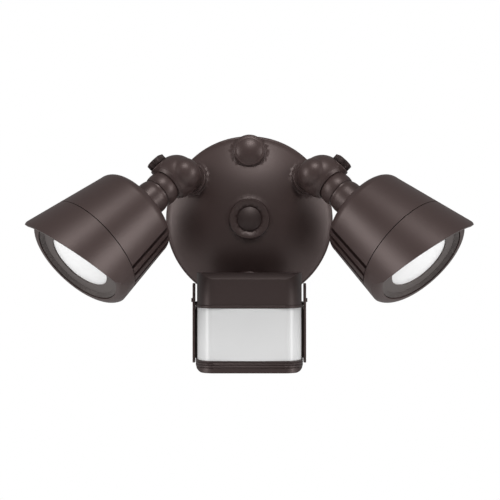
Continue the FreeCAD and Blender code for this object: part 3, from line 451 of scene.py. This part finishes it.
def powder_grain_group():
    """Fine orange-peel grain: a colour with slight mottling, a roughness and a height."""
    group = socket_group("powder_grain",
                         [("Color", "NodeSocketColor", (0.05, 0.04, 0.035, 1)),
                          ("Edge Color", "NodeSocketColor", (0.1, 0.08, 0.07, 1)),
                          ("Roughness", "NodeSocketFloat", 0.4),
                          ("Grain Scale", "NodeSocketFloat", 900.0),
                          ("Mottle", "NodeSocketFloat", 0.12)],
                         [("Color", "NodeSocketColor"), ("Roughness", "NodeSocketFloat"),
                          ("Height", "NodeSocketFloat")])
    nodes, links = group.nodes, group.links
    source = nodes.new("NodeGroupInput")
    sink = nodes.new("NodeGroupOutput")
    place = nodes.new("ShaderNodeTexCoord")
    grain = nodes.new("ShaderNodeTexNoise")
    grain.inputs["Detail"].default_value = 2.0
    cloud = nodes.new("ShaderNodeTexNoise")
    cloud.inputs["Scale"].default_value = 22.0
    cloud.inputs["Detail"].default_value = 3.0
    links.new(place.outputs["Object"], grain.inputs["Vector"])
    links.new(place.outputs["Object"], cloud.inputs["Vector"])
    links.new(source.outputs["Grain Scale"], grain.inputs["Scale"])
    amount = nodes.new("ShaderNodeMath")
    amount.operation = "MULTIPLY"
    links.new(cloud.outputs["Fac"], amount.inputs[0])
    links.new(source.outputs["Mottle"], amount.inputs[1])
    tint = nodes.new("ShaderNodeMix")
    tint.data_type = "RGBA"
    links.new(amount.outputs[0], tint.inputs["Factor"])
    links.new(source.outputs["Color"], tint.inputs["A"])
    links.new(source.outputs["Edge Color"], tint.inputs["B"])
    links.new(tint.outputs["Result"], sink.inputs["Color"])
    spread = nodes.new("ShaderNodeMapRange")
    spread.inputs["To Min"].default_value = -0.05
    spread.inputs["To Max"].default_value = 0.05
    links.new(cloud.outputs["Fac"], spread.inputs["Value"])
    total = nodes.new("ShaderNodeMath")
    total.operation = "ADD"
    total.use_clamp = True
    links.new(source.outputs["Roughness"], total.inputs[0])
    links.new(spread.outputs["Result"], total.inputs[1])
    links.new(total.outputs[0], sink.inputs["Roughness"])
    links.new(grain.outputs["Fac"], sink.inputs["Height"])
    return group


def plain_material(name, base, roughness, metallic=0.0, sheen_tint=(1, 1, 1)):
    material = bpy.data.materials.new(name)
    material.use_nodes = True
    shader = material.node_tree.nodes["Principled BSDF"]
    shader.inputs["Base Color"].default_value = (*base, 1)
    shader.inputs["Roughness"].default_value = roughness
    shader.inputs["Metallic"].default_value = metallic
    shader.inputs["Specular Tint"].default_value = (*sheen_tint, 1)
    material.diffuse_color = (*base, 1)
    return material


WARM_SHEEN = (1.0, 0.84, 0.81)


def grained_material(name, group, base, edge, roughness, grain_scale, bump, mottle=0.12):
    material = plain_material(name, base, roughness, sheen_tint=WARM_SHEEN)
    nodes, links = material.node_tree.nodes, material.node_tree.links
    shader = nodes["Principled BSDF"]
    grain = nodes.new("ShaderNodeGroup")
    grain.node_tree = group
    grain.inputs["Color"].default_value = (*base, 1)
    grain.inputs["Edge Color"].default_value = (*edge, 1)
    grain.inputs["Roughness"].default_value = roughness
    grain.inputs["Grain Scale"].default_value = grain_scale
    grain.inputs["Mottle"].default_value = mottle
    relief = nodes.new("ShaderNodeBump")
    relief.inputs["Strength"].default_value = bump
    relief.inputs["Distance"].default_value = 0.1 * MM
    links.new(grain.outputs["Color"], shader.inputs["Base Color"])
    links.new(grain.outputs["Roughness"], shader.inputs["Roughness"])
    links.new(grain.outputs["Height"], relief.inputs["Height"])
    links.new(relief.outputs["Normal"], shader.inputs["Normal"])
    return material


def make_materials():
    look = settings().finishes
    group = powder_grain_group()
    bronze, edge, plastic = tuple(look.bronze), tuple(look.bronze_edge), tuple(look.plastic)
    return {
        "bronze_metal": grained_material("bronze_powder_coat", group, bronze, edge, 0.42, 1500.0, 0.25),
        "bronze_steel": grained_material("bronze_painted_steel", group, bronze, edge, 0.45, 1500.0, 0.2),
        "bronze_plastic": grained_material("bronze_plastic", group, plastic, edge, 0.48, 2200.0, 0.2, 0.08),
        "bezel_plastic": grained_material("bezel_plastic", group, tuple(look.bezel), edge, 0.5, 2200.0, 0.15,
                                          0.08),
        "head_lens": plain_material("frosted_lens", tuple(look.head_lens), 0.35),
        "white_lens": plain_material("milky_lens", tuple(look.sensor_lens), 0.3),
        "rubber": plain_material("black_rubber", tuple(look.rubber), 0.7),
        "zinc_steel": plain_material("zinc_plated_steel", tuple(look.zinc), 0.35, 1.0),
        "bare_aluminium": plain_material("bare_aluminium", tuple(look.aluminium), 0.35, 1.0),
        "white_board": plain_material("white_board", (0.8, 0.8, 0.78), 0.4),
        "reflector": plain_material("white_reflector", (0.82, 0.82, 0.82), 0.25),
        "green_board": plain_material("green_board", tuple(look.board), 0.35),
        "black_case": plain_material("black_case", tuple(look.rubber), 0.45),
        "dial_plastic": plain_material("dial_plastic", tuple(look.dial), 0.4),
        "green_screw": plain_material("green_screw", tuple(look.ground), 0.4),
    }


MATERIALS = {}


def material_for(slot):
    if not MATERIALS:
        MATERIALS.update(make_materials())
    return MATERIALS[slot]


# --- canopy ---
def outwards(distance, x=0.0, z=0.0):
    """Place on the wall with its local Z pointing away from the wall."""
    return facing(Vector((x, -distance, z)), Vector((0, -1, 0)), Vector((0, 0, 1)))


class LIGHT_OT_canopy(bpy.types.Operator):
    """Domed canopy with its lip and centre boss, from the CAD cover with smooth shading"""
    bl_idname = "light.canopy"
    bl_label = "Canopy"

    def execute(self, context):
        size = settings().canopy
        cover = node_copy("canopy_cover", "canopy_shell")
        smooth(cover, 28.0)
        hand_over(cover, material_for("bronze_metal"), "base", "bronze_metal", "canopy_cover")
        seat = size.dome_front + size.boss_rise
        cap_profile = [(size.cap_radius, seat - 1.2 * MM), (size.cap_radius, seat + 0.6 * MM)]
        cap_profile += dome(size.cap_radius, seat + 0.6 * MM, seat + size.cap_rise, 8)[1:]
        cap = settle(turned("screw_cap", cap_profile, 72), outwards(0))
        round_edges(cap, 0.4 * MM)
        smooth(cap)
        hand_over(cap, material_for("bronze_plastic"), "base", "bronze_plastic", "centre_cap")
        plug = node_copy("top_hub_plug", "hub_plug")
        smooth(plug, 28.0)
        hand_over(plug, material_for("bronze_metal"), "base", "bronze_metal", "top_hub_plug")
        return {"FINISHED"}


# --- arms ---
def head_place(distance):
    """Place on the left head's axis, counted from the neck ball's centre."""
    x_axis = UPPER_SIDE.cross(FORWARD)
    return axes_matrix(BALL_CENTRE + FORWARD * distance, x_axis, UPPER_SIDE, FORWARD)


class LIGHT_OT_elbows(bpy.types.Operator):
    """Cast elbows: ball, shoulder and stem blended into one form, with a chamfered mouth rim"""
    bl_idname = "light.elbows"
    bl_label = "Elbows"

    def execute(self, context):
        size = settings().arm
        centre = BALL_CENTRE - FORWARD * size.ball_distance
        shoulder = LEFT_HUB + LEFT_STEM * size.shoulder_lift
        post_foot = LEFT_HUB + LEFT_STEM * 5.6 * MM
        body = ball("elbow_ball", centre, size.elbow_radius)
        boolean(body, rod("post", post_foot, shoulder, size.post_radius), "UNION")
        boolean(body, ball("shoulder", shoulder, size.shoulder_radius - 0.01 * MM), "UNION")
        boss_foot = KNOB_FOOT - UPPER_SIDE * 14.0 * MM
        boolean(body, rod("boss", boss_foot, KNOB_FOOT - UPPER_SIDE * 1.5 * MM, size.boss_radius), "UNION")
        pick(body)
        remesh = body.modifiers.new("even_mesh", "REMESH")
        remesh.mode = "VOXEL"
        remesh.voxel_size = 0.5 * MM
        bpy.ops.object.modifier_apply(modifier=remesh.name)
        blend = body.modifiers.new("cast_blend", "SMOOTH")
        blend.factor = 0.5
        blend.iterations = size.blend_steps
        bpy.ops.object.modifier_apply(modifier=blend.name)
        elbow_axes = head_place(-size.ball_distance)
        chamfer_foot = size.mouth_distance - size.mouth_chamfer
        cut = turned("front_cutter", [(22 * MM, chamfer_foot - 0.1 * MM), (22 * MM, 40 * MM)], 48)
        boolean(body, settle(cut, elbow_axes), "DIFFERENCE")
        seat_radius = size.ball_radius + size.seat_gap
        boolean(body, ball("seat", BALL_CENTRE, seat_radius, 72), "DIFFERENCE")
        both_sides(body, "elbow_body", material_for("bronze_metal"), "arm", "bronze_metal", ("elbow",),
                   limit=40.0)
        low = chamfer_foot - 0.3 * MM
        inner = math.sqrt(seat_radius ** 2 - (size.ball_distance - size.mouth_distance) ** 2)
        inner_low = math.sqrt(seat_radius ** 2 - (size.ball_distance - low) ** 2)
        outer = math.sqrt(size.elbow_radius ** 2 - chamfer_foot ** 2)
        rim_profile = [(inner_low, low), (outer - 0.1 * MM, low), (outer, chamfer_foot),
                       (size.mouth_radius, size.mouth_distance), (inner, size.mouth_distance)]
        rim = settle(turned("mouth_rim", rim_profile, 96, ring=True), elbow_axes)
        both_sides(rim, "elbow_mouth_rim", material_for("bronze_metal"), "arm", "bronze_metal",
                   rounding=0.2 * MM)
        thread = size.post_radius + 0.8 * MM
        stem_profile = [(7 * MM, -9 * MM), (thread, -9 * MM), (thread, 5.7 * MM), (7 * MM, 5.7 * MM)]
        stem = settle(turned("stem", stem_profile, 64, ring=True), facing(LEFT_HUB, LEFT_STEM, FORWARD))
        both_sides(stem, "elbow_stem", material_for("bronze_metal"), "arm", "bronze_metal", rounding=0.2 * MM)
        face = facing(KNOB_FOOT, UPPER_SIDE, FORWARD)
        boss_profile = [(size.boss_radius, -5.0 * MM), (size.boss_radius, -0.7 * MM),
                        (size.boss_radius - 0.7 * MM, 0), (2.6 * MM, 0), (2.6 * MM, -1.0 * MM)]
        boss = settle(turned("boss_face", boss_profile, 64), face)
        both_sides(boss, "elbow_screw_boss", material_for("bronze_metal"), "arm", "bronze_metal",
                   rounding=0.2 * MM)
        return {"FINISHED"}


class LIGHT_OT_collars(bpy.types.Operator):
    """Locknuts where the stems meet the hubs"""
    bl_idname = "light.collars"
    bl_label = "Collars"

    def execute(self, context):
        for side in SIDES:
            nut = node_copy(side + "_locknut", side + "_locknut_ring")
            smooth(nut, 28.0)
            hand_over(nut, material_for("bronze_metal"), "base", "bronze_metal", side + "_locknut")
        return {"FINISHED"}


class LIGHT_OT_thumb_screws(bpy.types.Operator):
    """Lobed thumb screws with smooth shading"""
    bl_idname = "light.thumb_screws"
    bl_label = "Thumb screws"

    def execute(self, context):
        for side in SIDES:
            knob = node_copy(side + "_thumb_screw", side + "_clamp_knob")
            smooth(knob, 28.0)
            hand_over(knob, material_for("bronze_plastic"), side + "_thumb", "bronze_plastic",
                      side + "_thumb_screw")
        return {"FINISHED"}


class LIGHT_OT_necks(bpy.types.Operator):
    """Necks: the ball that sits in the elbow, the dome and the barrel that enters the head"""
    bl_idname = "light.necks"
    bl_label = "Necks"

    def execute(self, context):
        size = settings().arm
        head = settings().head
        radius, dome_radius, apart = size.ball_radius, size.dome_radius, size.dome_distance
        meet = (apart ** 2 + radius ** 2 - dome_radius ** 2) / (2 * apart)
        waist_low = meet - size.waist_width / 2
        waist_high = meet + size.waist_width / 2
        ball_end = math.degrees(math.asin(waist_low / radius))
        dome_start = math.degrees(math.asin((waist_high - apart) / dome_radius))
        profile = [(2.0 * MM, -radius * 0.988)]
        profile += arc((0, 0), radius, -78, ball_end, 40)
        profile += [(size.waist_radius, waist_low), (size.waist_radius, waist_high)]
        profile += arc((0, apart), dome_radius, dome_start, 0, 16)
        profile += [(dome_radius, head.back_distance - 0.2 * MM), (5 * MM, head.back_distance - 0.2 * MM)]
        neck = settle(turned("neck", profile, 96), head_place(0))
        both_sides(neck, "neck_casting", material_for("bronze_metal"), "head", "bronze_metal", ("neck",),
                   rounding=0.35 * MM)
        return {"FINISHED"}


# --- lamp heads ---
def cone_radius(height):
    head = settings().head
    return head.back_radius + height * math.tan(head.flare)


def on_head(piece):
    return settle(piece, head_place(settings().head.back_distance))


class LIGHT_OT_rear_housings(bpy.types.Operator):
    """Finned rear halves of the lamp heads"""
    bl_idname = "light.rear_housings"
    bl_label = "Rear housings"

    def execute(self, context):
        head = settings().head
        front = head.seam - head.seam_gap / 2
        corner = head.back_round
        wall = head.wall
        profile = [(6.5 * MM, 0), (cone_radius(0) - corner, 0)]
        profile += arc((cone_radius(corner) - corner, corner), corner, -90, 0, 12)[1:]
        profile += [(cone_radius(front), front), (cone_radius(front) - wall, front),
                    (cone_radius(9 * MM) - wall, 9 * MM), (cone_radius(0) - 9.4 * MM, 4 * MM),
                    (6.5 * MM, 4 * MM)]
        housing = turned("rear_housing", profile, 144, ring=True)
        cutters = []
        for k in range(head.grooves):
            low = Vector((-head.groove_depth, -head.groove_width / 2, -2 * MM))
            high = Vector((12 * MM, head.groove_width / 2, front + 8 * MM))
            groove = block("groove", low, high)
            lean = Matrix.Rotation(head.flare, 4, "Y")
            out = Matrix.Translation((head.back_radius, 0, 0))
            turn = Matrix.Rotation(head.groove_start + head.groove_pitch * k, 4, "Z")
            cutters.append(settle(groove, turn @ out @ lean))
        boolean(housing, joined("grooves", cutters), "DIFFERENCE")
        on_head(housing)
        both_sides(housing, "finned_housing", material_for("bronze_metal"), "head", "bronze_metal",
                   ("rear_housing",), rounding=0.4 * MM)
        return {"FINISHED"}


def slanted_plane(height, slant, direction):
    """Point and normal of a plane across the head that rises towards a direction."""
    lean = math.atan2(slant, cone_radius(height))
    normal = Vector((-math.sin(lean) * math.cos(direction), -math.sin(lean) * math.sin(direction),
                     math.cos(lean)))
    return Vector((0, 0, height)), normal


def leaned(piece):
    """Tilts a piece about the lens's centre with the slanted front of the head."""
    head = settings().head
    axis = Vector((-math.sin(head.lean_direction), math.cos(head.lean_direction), 0))
    there = Matrix.Translation((0, 0, head.lens))
    return settle(piece, there @ Matrix.Rotation(-head.lean, 4, axis) @ there.inverted())


def keep_ahead(piece, point, normal):
    """Cuts a closed piece at a plane and keeps what lies ahead of it."""
    edit_all(piece)
    bpy.ops.mesh.bisect(plane_co=point, plane_no=normal, use_fill=True, clear_inner=True)
    bpy.ops.object.mode_set(mode="OBJECT")
    return face_outwards(piece)


class LIGHT_OT_hoods(bpy.types.Operator):
    """Front halves: cones with a rounded, slanted rim, carried forward as a hood on the upper side"""
    bl_idname = "light.hoods"
    bl_label = "Hoods"

    def execute(self, context):
        head = settings().head
        back = head.seam + head.seam_gap / 2
        far = head.rim + 30 * MM
        rings = 12
        heights = [back + (far - back) * k / rings for k in range(rings + 1)]
        shroud = turned("hood", [(cone_radius(height), height) for height in heights], 192)
        turn_z = head.rim - head.rim_round
        front = [(head.rim_land, head.rim)]
        front += arc((head.rim_land, turn_z), head.rim_round, 90, 0, 14)[1:]
        front += [(60 * MM, turn_z), (60 * MM, far + 10 * MM)]
        in_front = leaned(turned("in_front", front, 192))
        planes = ((head.hood, head.hood_slant, head.hood_direction),
                  (head.tip, head.tip_slant, head.tip_direction),
                  (head.cheek, head.cheek_slant, head.cheek_direction))
        for plane in planes:
            point, normal = slanted_plane(*plane)
            boolean(shroud, keep_ahead(copy_of(in_front, "past_hood"), point, normal), "DIFFERENCE")
        bpy.data.objects.remove(in_front, do_unlink=True)
        wall = head.hood_wall
        room = turned("hood_room", [(cone_radius(back) - wall, back),
                                    (cone_radius(far) - wall, far + 1 * MM)], 192)
        normal = Vector((-math.sin(head.lean) * math.cos(head.lean_direction),
                         -math.sin(head.lean) * math.sin(head.lean_direction), math.cos(head.lean)))
        rim_point = Vector((0, 0, head.lens)) + normal * (head.rim - head.lens)
        boolean(shroud, keep_ahead(room, rim_point, normal), "DIFFERENCE")
        foot = head.bezel_foot + 0.2 * MM
        low = back - 6 * MM
        ledge = head.bezel_ledge
        seat = [(foot - 2 * MM, low), (foot - 2 * MM, ledge), (foot, ledge), (foot, ledge + 3 * MM),
                (head.rim_bore, ledge + 7 * MM), (head.rim_bore, head.rim + 1 * MM)]
        boolean(shroud, leaned(turned("bezel_seat", seat, 192)), "DIFFERENCE")
        on_head(shroud)
        both_sides(shroud, "hood", material_for("bronze_metal"), "head", "bronze_metal", ("front_shroud",),
                   rounding=0.4 * MM, limit=36.0)
        return {"FINISHED"}


class LIGHT_OT_lens_rings(bpy.types.Operator):
    """Bezels with a flat ring and small steps, and the frosted lenses of the lamp heads"""
    bl_idname = "light.lens_rings"
    bl_label = "Bezels and lenses"

    def execute(self, context):
        head = settings().head
        ledge, top = head.bezel_ledge, head.bezel_top
        lip = head.lens + 1.2 * MM
        edge = head.rim_bore - 0.3 * MM
        run = (edge - head.bezel_ring) / head.bezel_steps
        drop = (top - lip) / head.bezel_steps
        profile = [(head.bezel_foot - 1.6 * MM, ledge), (head.bezel_foot, ledge),
                   (head.bezel_foot, ledge + 2.8 * MM), (edge, ledge + 7 * MM), (edge, top)]
        for k in range(head.bezel_steps):
            profile.append((edge - run * (k + 1), top - drop * k))
            profile.append((edge - run * (k + 1), top - drop * (k + 1)))
        seat = head.lens_radius + 0.2 * MM
        profile += [(head.window_radius, lip), (head.window_radius, head.lens), (seat, head.lens),
                    (seat, head.lens - 3 * MM), (seat + 4 * MM, head.lens - 3.4 * MM)]
        bezel = on_head(leaned(turned("bezel", profile, 128, ring=True)))
        both_sides(bezel, "stepped_bezel", material_for("bezel_plastic"), "head", "bezel_plastic", ("bezel",),
                   rounding=0.12 * MM)
        window = head.window_radius - 0.2 * MM
        lens_profile = [(head.lens_radius, head.lens - 2.6 * MM), (head.lens_radius, head.lens)]
        lens_profile += dome(window, head.lens, head.lens + head.lens_rise, 14)
        lens = on_head(leaned(turned("lens", lens_profile, 128)))
        both_sides(lens, "frosted_lens", material_for("head_lens"), "head", "head_lens", ("lens",),
                   rounding=0.1 * MM)
        return {"FINISHED"}


# --- motion sensor ---
def sensor_plan(name, grow, height, back):
    """The sensor's outline as a flat face: flat front and elliptical front corners."""
    size = settings().sensor
    half = SENSOR_HIGH.x - size.flare + grow
    corner_x = half - size.flat_half_width
    front = SENSOR_LOW.y + size.flare - grow
    corner_y = -size.corner_y - front
    squeeze = corner_x / corner_y
    deselect()
    bpy.ops.mesh.primitive_plane_add(size=1, enter_editmode=True)
    bpy.ops.transform.translate(value=(0, 0.5, 0))
    bpy.ops.transform.resize(value=(2 * half, (back - front) * squeeze, 1), center_override=(0, 0, 0))
    bpy.ops.object.mode_set(mode="OBJECT")
    plan = named(name)
    for vertex in plan.data.vertices:
        vertex.select = vertex.co.y < 1e-6
    for edge in plan.data.edges:
        edge.select = False
    for face in plan.data.polygons:
        face.select = False
    bpy.ops.object.mode_set(mode="EDIT")
    bpy.ops.mesh.bevel(offset=corner_x, offset_type="OFFSET", segments=20, affect="VERTICES", profile=0.5)
    bpy.ops.mesh.select_all(action="SELECT")
    bpy.ops.transform.resize(value=(1, 1 / squeeze, 1), center_override=(0, 0, 0))
    bpy.ops.transform.translate(value=(0, front, height))
    bpy.ops.object.mode_set(mode="OBJECT")
    return plan


def raised(plan, height):
    """Closed block from a flat face."""
    edit_all(plan)
    bpy.ops.mesh.extrude_region_move(TRANSFORM_OT_translate={"value": (0, 0, height)})
    bpy.ops.object.mode_set(mode="OBJECT")
    return face_outwards(plan)


class LIGHT_OT_sensor_hood(bpy.types.Operator):
    """Sensor hood with its rounded top edge, the lip over the lens and the side rails"""
    bl_idname = "light.sensor_hood"
    bl_label = "Sensor hood"

    def execute(self, context):
        size = settings().sensor
        top = SENSOR_HIGH.z
        back = SENSOR_HIGH.y
        low = LENS_HIGH.z + 0.2 * MM
        hood = raised(sensor_plan("sensor_hood", 0, low, back), top - low)
        round_r = size.top_round
        front = SENSOR_LOW.y - 2 * size.flare
        shaper = block("shaper", Vector((-60 * MM, front, low - 5 * MM)),
                       Vector((60 * MM, back + 5 * MM, top)))
        edit_all(shaper)
        bpy.ops.mesh.select_all(action="DESELECT")
        bpy.ops.object.mode_set(mode="OBJECT")
        for edge in shaper.data.edges:
            ends = [shaper.data.vertices[k].co for k in edge.vertices]
            edge.select = all(abs(p.y - front) < 1e-6 and abs(p.z - top) < 1e-6 for p in ends)
        bpy.ops.object.mode_set(mode="EDIT")
        bpy.ops.mesh.select_mode(type="EDGE")
        bpy.ops.mesh.bevel(offset=round_r, segments=16, affect="EDGES", profile=0.5)
        bpy.ops.object.mode_set(mode="OBJECT")
        boolean(hood, face_outwards(shaper), "INTERSECT")
        round_edges(hood, 0.5 * MM, limit=40.0)
        smooth(hood, 32.0)
        hand_over(hood, material_for("bronze_plastic"), "sensor", "bronze_plastic", "sensor_front_cover")
        lip = raised(sensor_plan("sensor_hood_lip", size.flare, low, back), size.lip_height)
        round_edges(lip, 0.5 * MM)
        smooth(lip)
        hand_over(lip, material_for("bronze_plastic"), "sensor", "bronze_plastic")
        for side, sign in (("left", -1), ("right", 1)):
            outer = sign * (SENSOR_HIGH.x - size.flare)
            inner = outer - sign * 2.2 * MM
            rail = block("sensor_rail_" + side, Vector((min(inner, outer), -44 * MM, LENS_LOW.z)),
                         Vector((max(inner, outer), back, low)))
            smooth(rail)
            hand_over(rail, material_for("bronze_plastic"), "sensor", "bronze_plastic")
        return {"FINISHED"}


class LIGHT_OT_sensor_lens(bpy.types.Operator):
    """Milky lens that wraps round the sensor's front"""
    bl_idname = "light.sensor_lens"
    bl_label = "Sensor lens"

    def execute(self, context):
        lens = node_copy("sensor_lens", "milky_sensor_lens")
        smooth(lens, 28.0)
        hand_over(lens, material_for("white_lens"), "sensor", "white_lens", "sensor_lens")
        return {"FINISHED"}


class LIGHT_OT_sensor_chin(bpy.types.Operator):
    """Bottom cover with fine grooves, rounded lower corners and the wells of the two dials"""
    bl_idname = "light.sensor_chin"
    bl_label = "Sensor chin"

    def execute(self, context):
        chin = node_copy("sensor_bottom_cover", "sensor_chin")
        smooth(chin, 28.0)
        hand_over(chin, material_for("bronze_plastic"), "sensor", "bronze_plastic", "sensor_bottom_cover")
        for node, slot, body in (("sensor_rear_housing", "bronze_plastic", "sensor"),
                                 ("sensor_yoke", "bronze_steel", "base")):
            piece = node_copy(node, node + "_shell")
            smooth(piece, 28.0)
            hand_over(piece, material_for(slot), body, slot, node)
        return {"FINISHED"}


# --- everything that stays as it is in the frame ---
class LIGHT_OT_plain_nodes(bpy.types.Operator):
    """Materials of the CAD nodes that keep their own shape"""
    bl_idname = "light.plain_nodes"
    bl_label = "Plain parts"

    def execute(self, context):
        for part in frame["record"]["subparts"]:
            node = frame["nodes"][part["node"]]
            node.data.materials.clear()
            node.data.materials.append(material_for(part["material_slot"]))
        return {"FINISHED"}


# --- stage ---
def pale_material(name, base):
    """Shows white to the camera and through clear surfaces, and is a plain surface for the light."""
    material = plain_material(name, base, 0.9)
    nodes, links = material.node_tree.nodes, material.node_tree.links
    shader = nodes["Principled BSDF"]
    path = nodes.new("ShaderNodeLightPath")
    glow = nodes.new("ShaderNodeEmission")
    glow.inputs["Color"].default_value = (1, 1, 1, 1)
    glow.inputs["Strength"].default_value = 1.0
    choose = nodes.new("ShaderNodeMixShader")
    seen = nodes.new("ShaderNodeMath")
    seen.operation = "MAXIMUM"
    links.new(path.outputs["Is Camera Ray"], seen.inputs[0])
    links.new(path.outputs["Is Transmission Ray"], seen.inputs[1])
    links.new(seen.outputs[0], choose.inputs["Fac"])
    links.new(shader.outputs["BSDF"], choose.inputs[1])
    links.new(glow.outputs["Emission"], choose.inputs[2])
    links.new(choose.outputs["Shader"], nodes["Material Output"].inputs["Surface"])
    return material


def white_world():
    world = bpy.data.worlds.new("pale_room")
    bpy.context.scene.world = world
    world.use_nodes = True
    nodes, links = world.node_tree.nodes, world.node_tree.links
    room = nodes["Background"]
    room.inputs["Color"].default_value = (1, 1, 1, 1)
    room.inputs["Strength"].default_value = 0.30
    white = nodes.new("ShaderNodeBackground")
    white.inputs["Color"].default_value = (1, 1, 1, 1)
    white.inputs["Strength"].default_value = 1.0
    path = nodes.new("ShaderNodeLightPath")
    seen = nodes.new("ShaderNodeMath")
    seen.operation = "MAXIMUM"
    choose = nodes.new("ShaderNodeMixShader")
    links.new(path.outputs["Is Camera Ray"], seen.inputs[0])
    links.new(path.outputs["Is Transmission Ray"], seen.inputs[1])
    links.new(seen.outputs[0], choose.inputs["Fac"])
    links.new(room.outputs["Background"], choose.inputs[1])
    links.new(white.outputs["Background"], choose.inputs[2])
    links.new(choose.outputs["Shader"], nodes["World Output"].inputs["Surface"])


def area_lamp(name, place, aim, size, power):
    deselect()
    bpy.ops.object.light_add(type="AREA", location=place)
    lamp = bpy.context.object
    lamp.name = name
    lamp.data.shape = "RECTANGLE"
    lamp.data.size = size[0]
    lamp.data.size_y = size[1]
    lamp.data.energy = power
    lamp.rotation_euler = (Vector(aim) - Vector(place)).to_track_quat("-Z", "Y").to_euler()


CAMERA_DISTANCE = 0.900
CAMERA_HEIGHT = -0.0232
FOCAL_PIXELS = 1175.5
FRAME_PIXELS = 500.0
CENTRE_COLUMN = 249.35


class LIGHT_OT_stage(bpy.types.Operator):
    """Pale floor, soft studio lamps, white room and the camera at the photo's angle"""
    bl_idname = "light.stage"
    bl_label = "Stage"

    def execute(self, context):
        deselect()
        bpy.ops.mesh.primitive_plane_add(size=6, location=(0, 0, -0.45))
        floor = named("floor")
        floor.data.materials.append(pale_material("pale_floor", tuple(settings().finishes.floor)))
        white_world()
        aim = (0, -0.05, -0.02)
        area_lamp("key_lamp", (0.1, -0.8, 1.1), aim, (0.5, 0.4), 10.0)
        area_lamp("left_lamp", (-1.15, -0.5, 0.12), aim, (0.4, 0.8), 8.5)
        area_lamp("right_lamp", (1.15, -0.5, 0.12), aim, (0.4, 0.8), 8.5)
        bpy.ops.object.camera_add(location=(0, -CAMERA_DISTANCE, CAMERA_HEIGHT),
                                  rotation=(math.radians(90), 0, 0))
        camera = context.object
        camera.name = "camera"
        camera.data.sensor_width = 36.0
        camera.data.lens = FOCAL_PIXELS * camera.data.sensor_width / FRAME_PIXELS
        camera.data.shift_x = (FRAME_PIXELS / 2 - CENTRE_COLUMN) / FRAME_PIXELS
        camera.data.clip_start = 0.01
        context.scene.camera = camera
        context.scene.view_settings.view_transform = "Standard"
        return {"FINISHED"}


class LIGHT_PT_panel(bpy.types.Panel):
    """Sidebar panel with the settings and one button for each piece"""
    bl_label = "Security Light"
    bl_idname = "LIGHT_PT_panel"
    bl_space_type = "VIEW_3D"
    bl_region_type = "UI"
    bl_category = "Light"

    def draw(self, context):
        for group in ("canopy", "arm", "head", "sensor", "finishes"):
            column = self.layout.column(heading=group.capitalize())
            owner = getattr(context.scene.security_light, group)
            for prop in owner.bl_rna.properties:
                if prop.identifier not in {"rna_type", "name"}:
                    column.prop(owner, prop.identifier)
        for step in STEPS:
            self.layout.operator(step.bl_idname)


GROUPS = (CanopySizes, ArmSizes, HeadSizes, SensorSizes, Finishes, LightSettings)
STEPS = (LIGHT_OT_plain_nodes, LIGHT_OT_canopy, LIGHT_OT_elbows, LIGHT_OT_collars, LIGHT_OT_thumb_screws,
         LIGHT_OT_necks, LIGHT_OT_rear_housings, LIGHT_OT_hoods, LIGHT_OT_lens_rings, LIGHT_OT_sensor_hood,
         LIGHT_OT_sensor_lens, LIGHT_OT_sensor_chin, LIGHT_OT_stage)
CLASSES = GROUPS + STEPS + (LIGHT_PT_panel,)


def register():
    for cls in CLASSES:
        bpy.utils.register_class(cls)
    bpy.types.Scene.security_light = PointerProperty(type=LightSettings)


def unregister():
    del bpy.types.Scene.security_light
    for cls in reversed(CLASSES):
        bpy.utils.unregister_class(cls)


def main():
    register()
    for step in STEPS:
        group, name = step.bl_idname.split(".")
        getattr(getattr(bpy.ops, group), name)()


if __name__ == "__main__":
    main()
